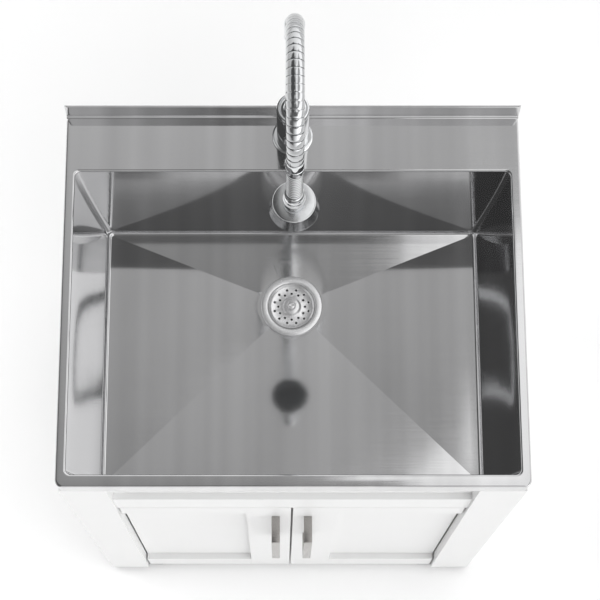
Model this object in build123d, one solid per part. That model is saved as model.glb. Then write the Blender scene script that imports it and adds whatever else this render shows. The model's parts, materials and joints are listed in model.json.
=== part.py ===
"""Free-standing utility laundry sink: a stainless steel sink top and bowl on a painted two-door
cabinet, with a pull-down faucet and a basket strainer.

Millimetres. The origin is on the floor, under the middle of the whole object's outline.
+X is to the right of someone at the sink, +Y points to the wall behind it, +Z is up.
Heights that start with the rim are measured down from RIM_Z, and those of the faucet up from it.
"""
from build123d import *
import math
import os

# Overall size, around the bowl's opening
BOWL_WIDTH = 588.0           # left to right, at the rim
BOWL_LENGTH = 413.7          # front to back, at the rim
SIDE_RIM = 13.5
FRONT_RIM = 16.8
BACK_DECK = 81.5             # from the bowl to the back of the backsplash
WIDTH = BOWL_WIDTH + 2 * SIDE_RIM
DEPTH = FRONT_RIM + BOWL_LENGTH + BACK_DECK
RIM_Z = 836.0                # top face of the rim and deck, above the floor
GLIDE_H = 10.0               # plastic glides under the cabinet
HANDLE_REACH = 33.0          # how far the door pulls stand in front of the rim
Y_FRONT = -(DEPTH - HANDLE_REACH) / 2
Y_BACK = Y_FRONT + DEPTH

# Stainless sheet
SHEET = 1.2
APRON_H = 33.0
PLAN_CORNER_R = 9.0
RIM_BEND_R = 2.5
RETURN_FLANGE = 12.0
SPLASH_H = 34.0
SPLASH_T = 3.0
SPLASH_END_CHAMFER = 2.0

# Bowl, inside faces
BOWL_DEPTH = 230.0           # down to the edge of the floor
BOWL_CORNER_R = 7.0
SIDE_TAPER = 25.2            # how far each side wall leans in over its height
FRONT_TAPER = 25.2
BACK_TAPER = 13.9
FLOOR_BEND = 8.0             # bend between the walls and the floor
FLOOR_FALL = 8.0             # fall of the floor from its edge to the drain
FLOOR_TIP = 0.02             # size of the four creases' meeting point, as a share of the floor
DRAIN_SETBACK = 306.6        # drain axis behind the front of the rim
DRAIN_Y = Y_FRONT + DRAIN_SETBACK

# Sound-deadening pads on the outside of the bowl
PAD_T = 2.5
PAD_LENGTH_X = 300.0
PAD_LENGTH_Y = 200.0
PAD_TOP = 70.0
PAD_BOTTOM = 170.0

# Drain
SEAT_R = 47.0
SEAT_DEPTH = BOWL_DEPTH + FLOOR_FALL
FLANGE_R = 45.0
FLANGE_T = 2.5
CUP_R = 34.0                 # inside of the strainer cup
CUP_WALL = 2.0
CUP_DEPTH = 46.0
THREAD_GAP = 0.05            # radial room between threaded pieces
HOLE_ROOM = 0.3              # radial room of a pipe in a sheet hole
GASKET_T = 3.0
FRICTION_RING_T = 1.5
LOCKNUT_H = 11.0
LOCKNUT_R = 49.0
LUG_COUNT = 6
LUG_W = 12.0
LUG_REACH = 4.0
OUTLET_R = 19.0              # threaded outlet under the cup
OUTLET_BORE_R = 16.0
OUTLET_H = 15.0
TAILPIECE_R = 19.05
TAILPIECE_BORE_R = 17.8
TAILPIECE_LENGTH = 120.0
TAILPIECE_FLANGE_R = 21.0
TAILPIECE_FLANGE_T = 2.0
TAILPIECE_NECK_R = 18.75     # rolled neck where the coupling nut's lip sits
NECK_SHOW = 1.0              # a neck shows this far past the piece around it
WASHER_T = 2.0
COUPLING_WALL = 3.5
COUPLING_LIP = 4.0

# Basket of the strainer
BASKET_R = 33.6
BASKET_RIM_W = 3.6
BASKET_T = 1.2
BASKET_DISH = 3.0
BOSS_R = 13.5
BOSS_H = 2.6
KNOB_R = 6.0
KNOB_H = 9.0
SLOT_W = 2.4
SLOT_LENGTH = 7.5
HOLE_R = 1.7
HOLES_PER_RING = 12
INNER_RING_R = 19.5
OUTER_RING_R = 25.5
STEM_R = 3.0
STEM_LENGTH = 22.0
STOPPER_R = 26.0
STOPPER_T = 4.0

# Faucet: heights above the deck
FAUCET_GAP = 49.5            # from the bowl's back edge to the faucet's axis
FAUCET_Y = Y_FRONT + FRONT_RIM + BOWL_LENGTH + FAUCET_GAP
DECK_HOLE_R = 17.5
BASE_R = 27.5
BASE_H = 4.0
SEAL_T = 1.0
BODY_R = 21.5
BODY_TOP = 95.0
COLLAR_TOP = 104.5
COLLAR_STEP_R = 17.0
COLLAR_STEP_H = 1.5
COLLAR_GROOVE = 0.6
SPIGOT_BOTTOM = 62.0         # the riser turns in the body from here up
TUBE_R = 10.5
TUBE_BORE_R = 8.0
RUNNING = 0.05               # radial clearance of turning and sliding fits
O_RING_R = 0.8
O_RING_LEVELS = (68.0, 88.0)
O_GROOVE_DEPTH = 1.7
O_GROOVE_W = 2.0
ARC_R = 87.0
ARC_CENTRE = 353.0           # height of the arc's centre
SEGMENT_ANGLE = 5.7          # from one groove of the jointed tube to the next
GROOVE_W = 0.9
GROOVE_D = 0.7
FERRULE_R = 12.2
FERRULE_LENGTH = 20.0
FERRULE_ANGLE = 13.0
DOCK_ANGLE = 15.0            # the dock sleeve covers this last part of the arc
DOCK_R = 10.9
HOSE_R = 6.0
HOSE_BORE_R = 3.5
HOSE_END_GAP = 16.0          # the inner hose stops this far above the riser's lower end
HOSE_TAIL = 14.0             # the stretch of hose that draws out of the dock
SPOUT_Y = FAUCET_Y - 2 * ARC_R

# Fixing under the deck
SHANK_R = 14.0
SHANK_BORE_R = 11.0
SHANK_LENGTH = 56.0
STIFFENER_T = 2.0
STIFFENER_X = 150.0
STIFFENER_Y = 64.0
FAUCET_WASHER_R = 23.0
FAUCET_WASHER_T = 3.0
FAUCET_NUT_R = 22.0
FAUCET_NUT_H = 9.0
INLET_R = 5.0
INLET_BORE_R = 3.0
INLET_OFFSET = 5.7
INLET_LENGTH = 30.0
INLET_SUNK = 12.0
INLET_ROOT_R = 4.7

# Mixing cartridge and lever
LEVER_Z = 42.0
CARTRIDGE_R = 12.0
CARTRIDGE_LENGTH = 18.0
BONNET_R = 12.0
BONNET_PROUD = 4.0
BONNET_T = 6.0
HUB_R = 9.6
HUB_LENGTH = 9.0
HUB_STEM_R = 5.0
HUB_FACE_GAP = 0.3
HUB_SLOT_W = 7.8
HUB_SLOT_DEPTH = 11.0
LEVER_R = 3.4
LEVER_LENGTH = 62.0
LEVER_TIP_R = 4.4
LEVER_TIP_LENGTH = 9.0
LEVER_REST_ANGLE = 20.0
LEVER_EYE_R = 4.6
LEVER_PIN_R = 1.5
LEVER_BLIND_R = 3.9          # the lever's rod starts this far from its pin, inside the eye

# Spray wand
GRIP_R = 10.2
GRIP_BORE_R = 6.6
GRIP_BOTTOM = 274.0
RIB_PITCH = 2.5
RIB_DEPTH = 0.5
COLLAR_SMALL_R = 11.8
COLLAR_LARGE_R = 13.9
COLLAR_SMALL_BOTTOM = 262.0
COLLAR_LARGE_BOTTOM = 250.0
NECK_R = 12.4
HEAD_TOP = 240.0
HEAD_BOTTOM = 215.0
HEAD_TOP_R = 26.35
HEAD_BOTTOM_R = 30.8
HEAD_RIM = 1.2
HEAD_WALL = 2.2
FACE_T = 3.0
FACE_RECESS = 1.5
NOZZLE_R = 1.1
NOZZLE_PROUD = 1.2
NOZZLE_RING_RADII = (8.0, 15.0, 22.0)
NOZZLE_COUNTS = (6, 12, 18)

# Cabinet: depths measured down from the rim
CABINET_TOP = APRON_H
SIDE_GAP = 1.5               # the cabinet stands this far inside the sink top at each side
CABINET_SETBACK = 0.5
SIDE_T = 12.0
POST_W = 62.0
POST_T = 16.0
CABINET_BOTTOM = RIM_Z - GLIDE_H
FALSE_PANEL_T = 3.0
FALSE_PANEL_RECESS = 14.0
CROSS_RAIL_TOP = 133.0
CROSS_RAIL_BOTTOM = 203.6
FRAME_RECESS = 5.0           # cross rail and doors behind the posts' faces
FLOOR_TOP = 786.0
FLOOR_T = 12.0
FLOOR_FRONT_GAP = 5.0
CLEAT = 12.0
HANGING_RAIL_T = 15.0
HANGING_RAIL_H = 90.0
HANGING_HOLE_R = 3.0
HANGING_HOLE_SPACING = 406.4
BACK_T = 4.0
PLUMBING_W = 360.0
PLUMBING_TOP = 330.0
PLUMBING_BOTTOM = 640.0
GLIDE_X = 30.0
GLIDE_Y = 13.0
GLIDE_INSET = 2.0
BACK_GLIDE_X = 9.0
BACK_GLIDE_Y = 34.0
CAM_R = 7.5
CAM_T = 9.0
CAM_INSET = 24.0

# Doors
DOOR_SIDE_GAP = 2.5
DOOR_CENTRE_GAP = 3.0
DOOR_TOP_GAP = 3.0
DOOR_BOTTOM_GAP = 1.5
DOOR_T = 18.0
TOP_RAIL_BOTTOM = 257.0
BOTTOM_RAIL_TOP = 756.6
STILE_W = 64.0
PANEL_T = 6.0
PANEL_RECESS = 10.0
PIVOT_INSET_X = 8.0
PIVOT_INSET_Y = 6.0
PIVOT_R = 2.5
PIVOT_DEPTH = 12.0
PIVOT_END_GAP = 0.5
BUSH_R = 4.0
PLATE_T = 1.5
PLATE_X = 24.0
PLATE_Y = 14.0
BOTTOM_PLATE_X = 50.0
PLATE_SCREW_REACH = (9.0, 20.0)
SCREW_R = 1.6
SCREW_HEAD_R = 3.2
SCREW_HEAD_T = 1.0
SCREW_LENGTH = 11.0

# Door pulls
PULL_OFFSET = 23.2           # from the middle of the doors' gap
PULL_W = 12.0
PULL_T = 6.0
PULL_TOP = 281.0
PULL_LENGTH = 172.0
PULL_BEND_R = 1.2

# Magnetic catch and strikes
CATCH_X = 60.0
CATCH_GAP = 0.4              # between the catch and the bowl's front wall
CATCH_TOP = 188.0
CATCH_BOTTOM = 224.0
STRIKE_X = 20.0
STRIKE_Z = 12.0
STRIKE_T = 1.0
STRIKE_GAP = 0.3

# Brackets that hold the sink top down
BRACKET_T = 1.5
BRACKET_Y = 26.0
BRACKET_LEG = 30.0
BRACKET_DROP = 66.0
BRACKET_INSET = 50.0         # from the back of the sink top to the brackets' middle
BRACKET_SCREW_LEVELS = (44.0, 58.0)


# ---------------------------------------------------------------- simple solids
def block(x, y, z):
    """A box between two places along each axis."""
    centre = Pos((x[0] + x[1]) / 2, (y[0] + y[1]) / 2, (z[0] + z[1]) / 2)
    return centre * Box(abs(x[1] - x[0]), abs(y[1] - y[0]), abs(z[1] - z[0]))


def rod(radius, low, high, x=0.0, y=0.0):
    """An upright cylinder."""
    return Pos(x, y, (low + high) / 2) * Cylinder(radius, high - low)


def pipe(outer, inner, low, high, x=0.0, y=0.0):
    """An upright tube."""
    return rod(outer, low, high, x, y) - rod(inner, low, high, x, y)


def rod_y(radius, y, x, z):
    """A cylinder that lies front to back."""
    return Pos(x, (y[0] + y[1]) / 2, z) * Rot(90, 0, 0) * Cylinder(radius, abs(y[1] - y[0]))


def rod_x(radius, x, y, z):
    """A cylinder that lies left to right."""
    return Pos((x[0] + x[1]) / 2, y, z) * Rot(0, 90, 0) * Cylinder(radius, abs(x[1] - x[0]))


def turned(profile, x=0.0, y=0.0):
    """A solid turned about an upright axis from (radius, height) points."""
    face = make_face(Plane.XZ * Polyline(*profile, close=True))
    return Pos(x, y, 0) * revolve(face, Axis.Z)


def below(depth):
    """The height of something that is so far below the rim."""
    return RIM_Z - depth


def above(height):
    """The height of something that is so far above the deck."""
    return RIM_Z + height


def mirrored(solid):
    return mirror(solid, about=Plane.YZ)


def write(name, shape):
    export_step(shape, os.path.join("parts", name + ".step"))


def together(solids):
    """Several separate solids as one node."""
    return Compound(children=list(solids))


# ---------------------------------------------------------------- sink top
def rim_plan(width, depth, corner, z):
    centre_y = (Y_FRONT + Y_BACK) / 2
    return Pos(0, centre_y, z) * RectangleRounded(width, depth, corner)


def sink_top():
    """Rim, deck, aprons, return flanges and backsplash, folded from one sheet."""
    outer = extrude(rim_plan(WIDTH, DEPTH, PLAN_CORNER_R, below(APRON_H)), APRON_H)
    outer = fillet(outer.faces().sort_by(Axis.Z)[-1].edges(), RIM_BEND_R)
    hollow_h = APRON_H - 2 * SHEET
    hollow_plan = rim_plan(WIDTH - 2 * SHEET, DEPTH - 2 * SHEET, PLAN_CORNER_R - SHEET,
                           below(APRON_H - SHEET))
    hollow = extrude(hollow_plan, hollow_h)
    hollow = fillet(hollow.faces().sort_by(Axis.Z)[-1].edges(), RIM_BEND_R - SHEET)
    mouth = extrude(rim_plan(WIDTH - 2 * RETURN_FLANGE, DEPTH - 2 * RETURN_FLANGE,
                             PLAN_CORNER_R - SHEET, below(APRON_H)), APRON_H / 2)
    bowl_y = (Y_FRONT + FRONT_RIM, Y_FRONT + FRONT_RIM + BOWL_LENGTH)
    opening = extrude(Pos(0, sum(bowl_y) / 2, below(APRON_H))
                      * RectangleRounded(BOWL_WIDTH, BOWL_LENGTH, BOWL_CORNER_R), 2 * APRON_H)
    splash = block((-WIDTH / 2, WIDTH / 2), (Y_BACK - SPLASH_T, Y_BACK),
                   (below(RIM_BEND_R), above(SPLASH_H)))
    corners = splash.edges().filter_by(Axis.Z).group_by(Axis.Y)[0]
    splash = chamfer(corners, SPLASH_END_CHAMFER)
    top = outer - hollow - mouth - opening + splash
    return top - rod(DECK_HOLE_R, below(APRON_H), above(APRON_H), 0, FAUCET_Y)


# ---------------------------------------------------------------- bowl
def bowl_section(depth, inset, grow=0.0, drop=0.0):
    """The bowl's plan at a depth, pulled in by inset and grown by a wall."""
    share = min(depth, BOWL_DEPTH) / BOWL_DEPTH
    half_x = BOWL_WIDTH / 2 - SIDE_TAPER * share - inset + grow
    front = Y_FRONT + FRONT_RIM + FRONT_TAPER * share + inset - grow
    back = Y_FRONT + FRONT_RIM + BOWL_LENGTH - BACK_TAPER * share - inset + grow
    return (Pos(0, (front + back) / 2, below(depth + drop))
            * RectangleRounded(2 * half_x, back - front, BOWL_CORNER_R + grow))


def floor_tip(grow, drop):
    """The small plan where the floor's four creases meet, at the drain."""
    half_x = (BOWL_WIDTH / 2 - SIDE_TAPER - FLOOR_BEND + grow) * FLOOR_TIP
    front = Y_FRONT + FRONT_RIM + FRONT_TAPER + FLOOR_BEND - grow
    back = Y_FRONT + FRONT_RIM + BOWL_LENGTH - BACK_TAPER - FLOOR_BEND + grow
    low = DRAIN_Y - (DRAIN_Y - front) * FLOOR_TIP
    high = DRAIN_Y + (back - DRAIN_Y) * FLOOR_TIP
    corner = (BOWL_CORNER_R + grow) * FLOOR_TIP
    return (Pos(0, (low + high) / 2, below(BOWL_DEPTH + FLOOR_FALL + drop))
            * RectangleRounded(2 * half_x, high - low, corner))


def bowl_form(grow, drop):
    """The closed form of the bowl: walls, bend and creased floor."""
    bend_top = BOWL_DEPTH - FLOOR_BEND
    walls = loft([bowl_section(SHEET, 0, grow), bowl_section(bend_top, 0, grow, drop)], ruled=True)
    bend = loft([bowl_section(bend_top, 0, grow, drop),
                 bowl_section(BOWL_DEPTH, FLOOR_BEND, grow, drop)], ruled=True)
    floor = loft([bowl_section(BOWL_DEPTH, FLOOR_BEND, grow, drop), floor_tip(grow, drop)],
                 ruled=True)
    return walls + bend + floor


def bowl(outer_form):
    seat = rod(SEAT_R, below(SEAT_DEPTH), below(BOWL_DEPTH), 0, DRAIN_Y)
    seat_back = rod(SEAT_R + SHEET, below(SEAT_DEPTH + SHEET), below(BOWL_DEPTH + SHEET), 0, DRAIN_Y)
    hole_r = CUP_R + CUP_WALL + HOLE_ROOM
    hole = rod(hole_r, below(SEAT_DEPTH + 2 * SHEET), below(BOWL_DEPTH), 0, DRAIN_Y)
    return outer_form + seat_back - bowl_form(0, 0) - seat - hole


def sound_pads(outer_form):
    """Rubber sheets stuck to the outside of the four walls."""
    thick_form = bowl_form(SHEET + PAD_T, SHEET + PAD_T)
    skin = thick_form - outer_form
    levels = (below(PAD_BOTTOM), below(PAD_TOP))
    middle_y = Y_FRONT + FRONT_RIM + BOWL_LENGTH / 2
    sides = block((-WIDTH, WIDTH), (middle_y - PAD_LENGTH_Y / 2, middle_y + PAD_LENGTH_Y / 2), levels)
    ends = block((-PAD_LENGTH_X / 2, PAD_LENGTH_X / 2), (-DEPTH, DEPTH), levels)
    return together((skin & sides).solids() + (skin & ends).solids())


def deck_stiffener():
    """Plate spot-welded under the deck, where the faucet is clamped."""
    plate = block((-STIFFENER_X / 2, STIFFENER_X / 2),
                  (FAUCET_Y - STIFFENER_Y / 2, FAUCET_Y + STIFFENER_Y / 2 - SPLASH_T - SHEET),
                  (below(SHEET + STIFFENER_T), below(SHEET)))
    return plate - rod(DECK_HOLE_R, below(APRON_H), above(0), 0, FAUCET_Y)


# ---------------------------------------------------------------- drain
def strainer_body():
    """Flanged cup that clamps the bowl and leads to the outlet."""
    outer = CUP_R + CUP_WALL
    seat = below(SEAT_DEPTH)
    bottom = seat - CUP_DEPTH
    edge = FLANGE_T / 2
    profile = [
        (FLANGE_R, seat), (FLANGE_R, seat + edge), (FLANGE_R - edge, seat + FLANGE_T),
        (FLANGE_R - 2 * edge, seat + FLANGE_T), (CUP_R, seat + edge),
        (CUP_R, bottom + CUP_WALL), (OUTLET_BORE_R, bottom),
        (OUTLET_BORE_R, bottom - OUTLET_H), (OUTLET_R, bottom - OUTLET_H),
        (OUTLET_R, bottom - CUP_WALL), (outer, bottom), (outer, seat),
    ]
    return turned(profile, 0, DRAIN_Y)


def drain_stack():
    """Gasket, friction ring, locknut, washer, coupling nut and tailpiece, from the top down."""
    inner = CUP_R + CUP_WALL + THREAD_GAP
    level = below(SEAT_DEPTH + SHEET)
    gasket = pipe(SEAT_R, inner, level - GASKET_T, level, 0, DRAIN_Y)
    level -= GASKET_T
    ring = pipe(SEAT_R, inner, level - FRICTION_RING_T, level, 0, DRAIN_Y)
    level -= FRICTION_RING_T
    locknut = pipe(LOCKNUT_R, inner, level - LOCKNUT_H, level, 0, DRAIN_Y)
    for index in range(LUG_COUNT):
        lug = block((LOCKNUT_R - LUG_REACH, LOCKNUT_R + LUG_REACH), (-LUG_W / 2, LUG_W / 2),
                    (level - LOCKNUT_H, level))
        locknut += Pos(0, DRAIN_Y, 0) * Rot(0, 0, index * 360 / LUG_COUNT) * lug
    outlet = below(SEAT_DEPTH + CUP_DEPTH + OUTLET_H)
    washer = pipe(TAILPIECE_FLANGE_R, TAILPIECE_BORE_R, outlet - WASHER_T, outlet, 0, DRAIN_Y)
    flange_top = outlet - WASHER_T
    flange_bottom = flange_top - TAILPIECE_FLANGE_T
    tail_end = flange_top - TAILPIECE_LENGTH
    lip_bottom = flange_bottom - COUPLING_LIP
    neck_end = lip_bottom - NECK_SHOW
    tailpiece = turned([(TAILPIECE_BORE_R, flange_top), (TAILPIECE_FLANGE_R, flange_top),
                        (TAILPIECE_FLANGE_R, flange_bottom), (TAILPIECE_NECK_R, flange_bottom),
                        (TAILPIECE_NECK_R, neck_end), (TAILPIECE_R, neck_end),
                        (TAILPIECE_R, tail_end), (TAILPIECE_BORE_R, tail_end)], 0, DRAIN_Y)
    nut_r = TAILPIECE_FLANGE_R + COUPLING_WALL
    nut_bore = TAILPIECE_FLANGE_R + THREAD_GAP
    nut_top = outlet + OUTLET_H - CUP_WALL - COUPLING_LIP
    coupling = turned([(OUTLET_R + THREAD_GAP, nut_top), (nut_r, nut_top),
                       (nut_r, lip_bottom), (TAILPIECE_R + THREAD_GAP, lip_bottom),
                       (TAILPIECE_R + THREAD_GAP, flange_bottom), (nut_bore, flange_bottom),
                       (nut_bore, outlet), (OUTLET_R + THREAD_GAP, outlet)], 0, DRAIN_Y)
    return {"drain_seals": together([gasket, washer]), "drain_friction_ring": ring,
            "drain_locknut": locknut, "tailpiece": tailpiece, "coupling_nut": coupling}


def strainer_basket():
    """Perforated dish, knob, stem and rubber stopper, which lift out together."""
    rim = below(SEAT_DEPTH) + FLANGE_T / 2
    dish = rim - BASKET_DISH
    flat_r = BASKET_R - BASKET_RIM_W
    plate = turned([(0, dish), (BOSS_R, dish), (flat_r, dish), (BASKET_R, rim),
                    (BASKET_R, rim - BASKET_T), (flat_r, dish - BASKET_T), (0, dish - BASKET_T)],
                   0, DRAIN_Y)
    for ring_r, offset in ((INNER_RING_R, 0.0), (OUTER_RING_R, 0.5)):
        for index in range(HOLES_PER_RING):
            angle = math.radians((index + offset) * 360 / HOLES_PER_RING)
            plate -= rod(HOLE_R, dish - 2 * BASKET_T, dish + BASKET_T,
                         ring_r * math.sin(angle), DRAIN_Y + ring_r * math.cos(angle))
    stem = rod(STEM_R, dish - STEM_LENGTH, dish + BOSS_H, 0, DRAIN_Y)
    plate -= rod(STEM_R, dish - 2 * BASKET_T, dish + BASKET_T, 0, DRAIN_Y)
    plate += turned([(STEM_R, dish - BASKET_T), (BOSS_R, dish - BASKET_T), (BOSS_R, dish),
                     (BOSS_R - BOSS_H / 2, dish + BOSS_H), (STEM_R, dish + BOSS_H)], 0, DRAIN_Y)
    knob = rod(KNOB_R, dish + BOSS_H, dish + KNOB_H, 0, DRAIN_Y)
    knob = fillet(knob.faces().sort_by(Axis.Z)[-1].edges(), KNOB_R / 4)
    slot_low = dish + KNOB_H - SLOT_W / 2
    knob -= block((-SLOT_LENGTH / 2, SLOT_LENGTH / 2), (DRAIN_Y - SLOT_W / 2, DRAIN_Y + SLOT_W / 2),
                  (slot_low, dish + 2 * KNOB_H))
    knob += stem
    stopper = pipe(STOPPER_R, STEM_R, dish - STEM_LENGTH, dish - STEM_LENGTH + STOPPER_T, 0, DRAIN_Y)
    return {"basket_plate": plate, "basket_knob": knob, "basket_stopper": stopper}


# ---------------------------------------------------------------- faucet, fixed pieces
def faucet_base():
    base = turned([(SHANK_R, above(SEAL_T)), (BASE_R, above(SEAL_T)), (BASE_R, above(BASE_H / 2)),
                   (BASE_R - BASE_H / 2, above(BASE_H)), (SHANK_R, above(BASE_H))], 0, FAUCET_Y)
    seal = pipe(BASE_R - SEAL_T, SHANK_R, above(0), above(SEAL_T), 0, FAUCET_Y)
    return {"faucet_base_ring": base, "faucet_base_seal": seal}


def faucet_body():
    """Column with a bore for the riser and a side socket for the cartridge."""
    body = rod(BODY_R, above(BASE_H), above(BODY_TOP), 0, FAUCET_Y)
    body -= rod(TUBE_R + RUNNING, above(SPIGOT_BOTTOM), above(BODY_TOP), 0, FAUCET_Y)
    waterway = rod(TUBE_BORE_R, above(LEVER_Z), above(SPIGOT_BOTTOM), 0, FAUCET_Y)
    front = FAUCET_Y - BODY_R
    socket_end = front + CARTRIDGE_LENGTH
    socket = rod_y(CARTRIDGE_R, (front - BODY_R, socket_end), 0, above(LEVER_Z))
    feeds = [rod(INLET_BORE_R, above(BASE_H), above(LEVER_Z), x, FAUCET_Y)
             for x in (-INLET_OFFSET, INLET_OFFSET)]
    return body - waterway - socket - feeds[0] - feeds[1]


def cartridge_pieces():
    """The ceramic cartridge and the bonnet that holds it in the body."""
    front = FAUCET_Y - BODY_R
    inner = front + CARTRIDGE_LENGTH
    bonnet_back = front - BONNET_PROUD + BONNET_T
    cartridge = rod_y(CARTRIDGE_R, (bonnet_back, inner), 0, above(LEVER_Z))
    bonnet = rod_y(BONNET_R, (front - BONNET_PROUD, bonnet_back), 0, above(LEVER_Z))
    stem_hole = rod_y(HUB_STEM_R + RUNNING, (front - BONNET_PROUD, bonnet_back + HUB_STEM_R), 0,
                      above(LEVER_Z))
    return {"mixing_cartridge": cartridge - stem_hole, "cartridge_bonnet": bonnet - stem_hole}


def under_deck():
    """Shank, washer, nut and the two inlets that hold and feed the faucet."""
    clamp = below(SHEET + STIFFENER_T)
    shank = pipe(SHANK_R, SHANK_BORE_R, below(SHANK_LENGTH), above(BASE_H), 0, FAUCET_Y)
    washer = pipe(FAUCET_WASHER_R, SHANK_R, clamp - FAUCET_WASHER_T, clamp, 0, FAUCET_Y)
    nut_top = clamp - FAUCET_WASHER_T
    hexagon = Pos(0, FAUCET_Y, nut_top - FAUCET_NUT_H) * RegularPolygon(FAUCET_NUT_R, 6)
    nut = extrude(hexagon, FAUCET_NUT_H)
    nut -= rod(SHANK_R, nut_top - FAUCET_NUT_H, nut_top, 0, FAUCET_Y)
    end = below(SHANK_LENGTH)
    shank += rod(SHANK_BORE_R, end, end + INLET_SUNK, 0, FAUCET_Y)
    root_end = end - NECK_SHOW
    inlets = []
    for x in (-INLET_OFFSET, INLET_OFFSET):
        inlets.append(turned([(INLET_BORE_R, end + INLET_SUNK), (INLET_ROOT_R, end + INLET_SUNK),
                              (INLET_ROOT_R, root_end), (INLET_R, root_end),
                              (INLET_R, end - INLET_LENGTH), (INLET_BORE_R, end - INLET_LENGTH)],
                             x, FAUCET_Y))
        shank -= rod(INLET_ROOT_R, end, end + INLET_SUNK, x, FAUCET_Y)
    return {"faucet_shank": shank, "faucet_washer": washer, "faucet_nut": nut,
            "supply_inlets": together(inlets)}


# ---------------------------------------------------------------- spout
def arc_place(angle, radius=ARC_R):
    """A point of the arc: 0 degrees is its front end and 180 its top of the riser."""
    turn = math.radians(angle)
    return (0, FAUCET_Y - ARC_R - radius * math.cos(turn), above(ARC_CENTRE) + radius * math.sin(turn))


def arc_tube(outer, inner, start, end):
    """A round tube along the arc between two angles."""
    ring = Circle(outer) - Circle(inner) if inner else Circle(outer)
    turn = math.radians(start)
    direction = (0, math.sin(turn), math.cos(turn))
    section = Plane(origin=arc_place(start), x_dir=(1, 0, 0), z_dir=direction) * ring
    axis = Axis((0, FAUCET_Y - ARC_R, above(ARC_CENTRE)), (-1, 0, 0))
    return revolve(section, axis, end - start)


def spout_pieces():
    """Riser, ferrule, jointed arc and dock sleeve, with the hose that runs inside them."""
    riser = pipe(TUBE_R, TUBE_BORE_R, above(SPIGOT_BOTTOM), above(ARC_CENTRE), 0, FAUCET_Y)
    rings = []
    for level in O_RING_LEVELS:
        groove_low = above(level) - O_GROOVE_W / 2
        riser -= pipe(TUBE_R + O_RING_R, TUBE_R - O_GROOVE_DEPTH, groove_low, groove_low + O_GROOVE_W,
                      0, FAUCET_Y)
        rings.append(Pos(0, FAUCET_Y, above(level)) * Torus(TUBE_R - O_RING_R, O_RING_R))
    collar = turned([(TUBE_R, above(BODY_TOP) + HUB_FACE_GAP),
                     (BODY_R, above(BODY_TOP) + HUB_FACE_GAP),
                     (BODY_R, above(COLLAR_TOP) - COLLAR_GROOVE),
                     (BODY_R - COLLAR_GROOVE, above(COLLAR_TOP)),
                     (COLLAR_STEP_R + COLLAR_GROOVE, above(COLLAR_TOP)),
                     (COLLAR_STEP_R + COLLAR_GROOVE, above(COLLAR_TOP) - COLLAR_STEP_H),
                     (COLLAR_STEP_R, above(COLLAR_TOP) - COLLAR_STEP_H),
                     (COLLAR_STEP_R - COLLAR_STEP_H, above(COLLAR_TOP) + COLLAR_STEP_H),
                     (TUBE_R + COLLAR_STEP_H, above(COLLAR_TOP) + COLLAR_STEP_H),
                     (TUBE_R, above(COLLAR_TOP))], 0, FAUCET_Y)
    riser_top = above(ARC_CENTRE)
    ferrule = pipe(FERRULE_R, TUBE_R, riser_top - FERRULE_LENGTH, riser_top, 0, FAUCET_Y)
    ferrule += arc_tube(FERRULE_R, TUBE_R, 180 - FERRULE_ANGLE, 180)
    riser += ferrule
    arc = arc_tube(TUBE_R, TUBE_BORE_R, DOCK_ANGLE, 180)
    groove_angle = math.degrees(GROOVE_W / ARC_R)
    count = int((180 - FERRULE_ANGLE - DOCK_ANGLE) / SEGMENT_ANGLE)
    for index in range(1, count + 1):
        middle = DOCK_ANGLE + index * SEGMENT_ANGLE
        arc -= arc_tube(TUBE_R + GROOVE_D, TUBE_R - GROOVE_D, middle - groove_angle / 2,
                        middle + groove_angle / 2)
    dock = arc_tube(DOCK_R, TUBE_BORE_R, 0, DOCK_ANGLE)
    tail_angle = math.degrees(HOSE_TAIL / ARC_R)
    hose_end = above(SPIGOT_BOTTOM + HOSE_END_GAP)
    hose = pipe(HOSE_R, HOSE_BORE_R, hose_end, riser_top, 0, FAUCET_Y)
    hose += arc_tube(HOSE_R, HOSE_BORE_R, tail_angle, 180)
    return {"spout_riser": riser, "swivel_seals": together(rings), "swivel_collar": collar,
            "spout_arc": arc, "spray_dock": dock, "spout_hose": hose}


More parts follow.
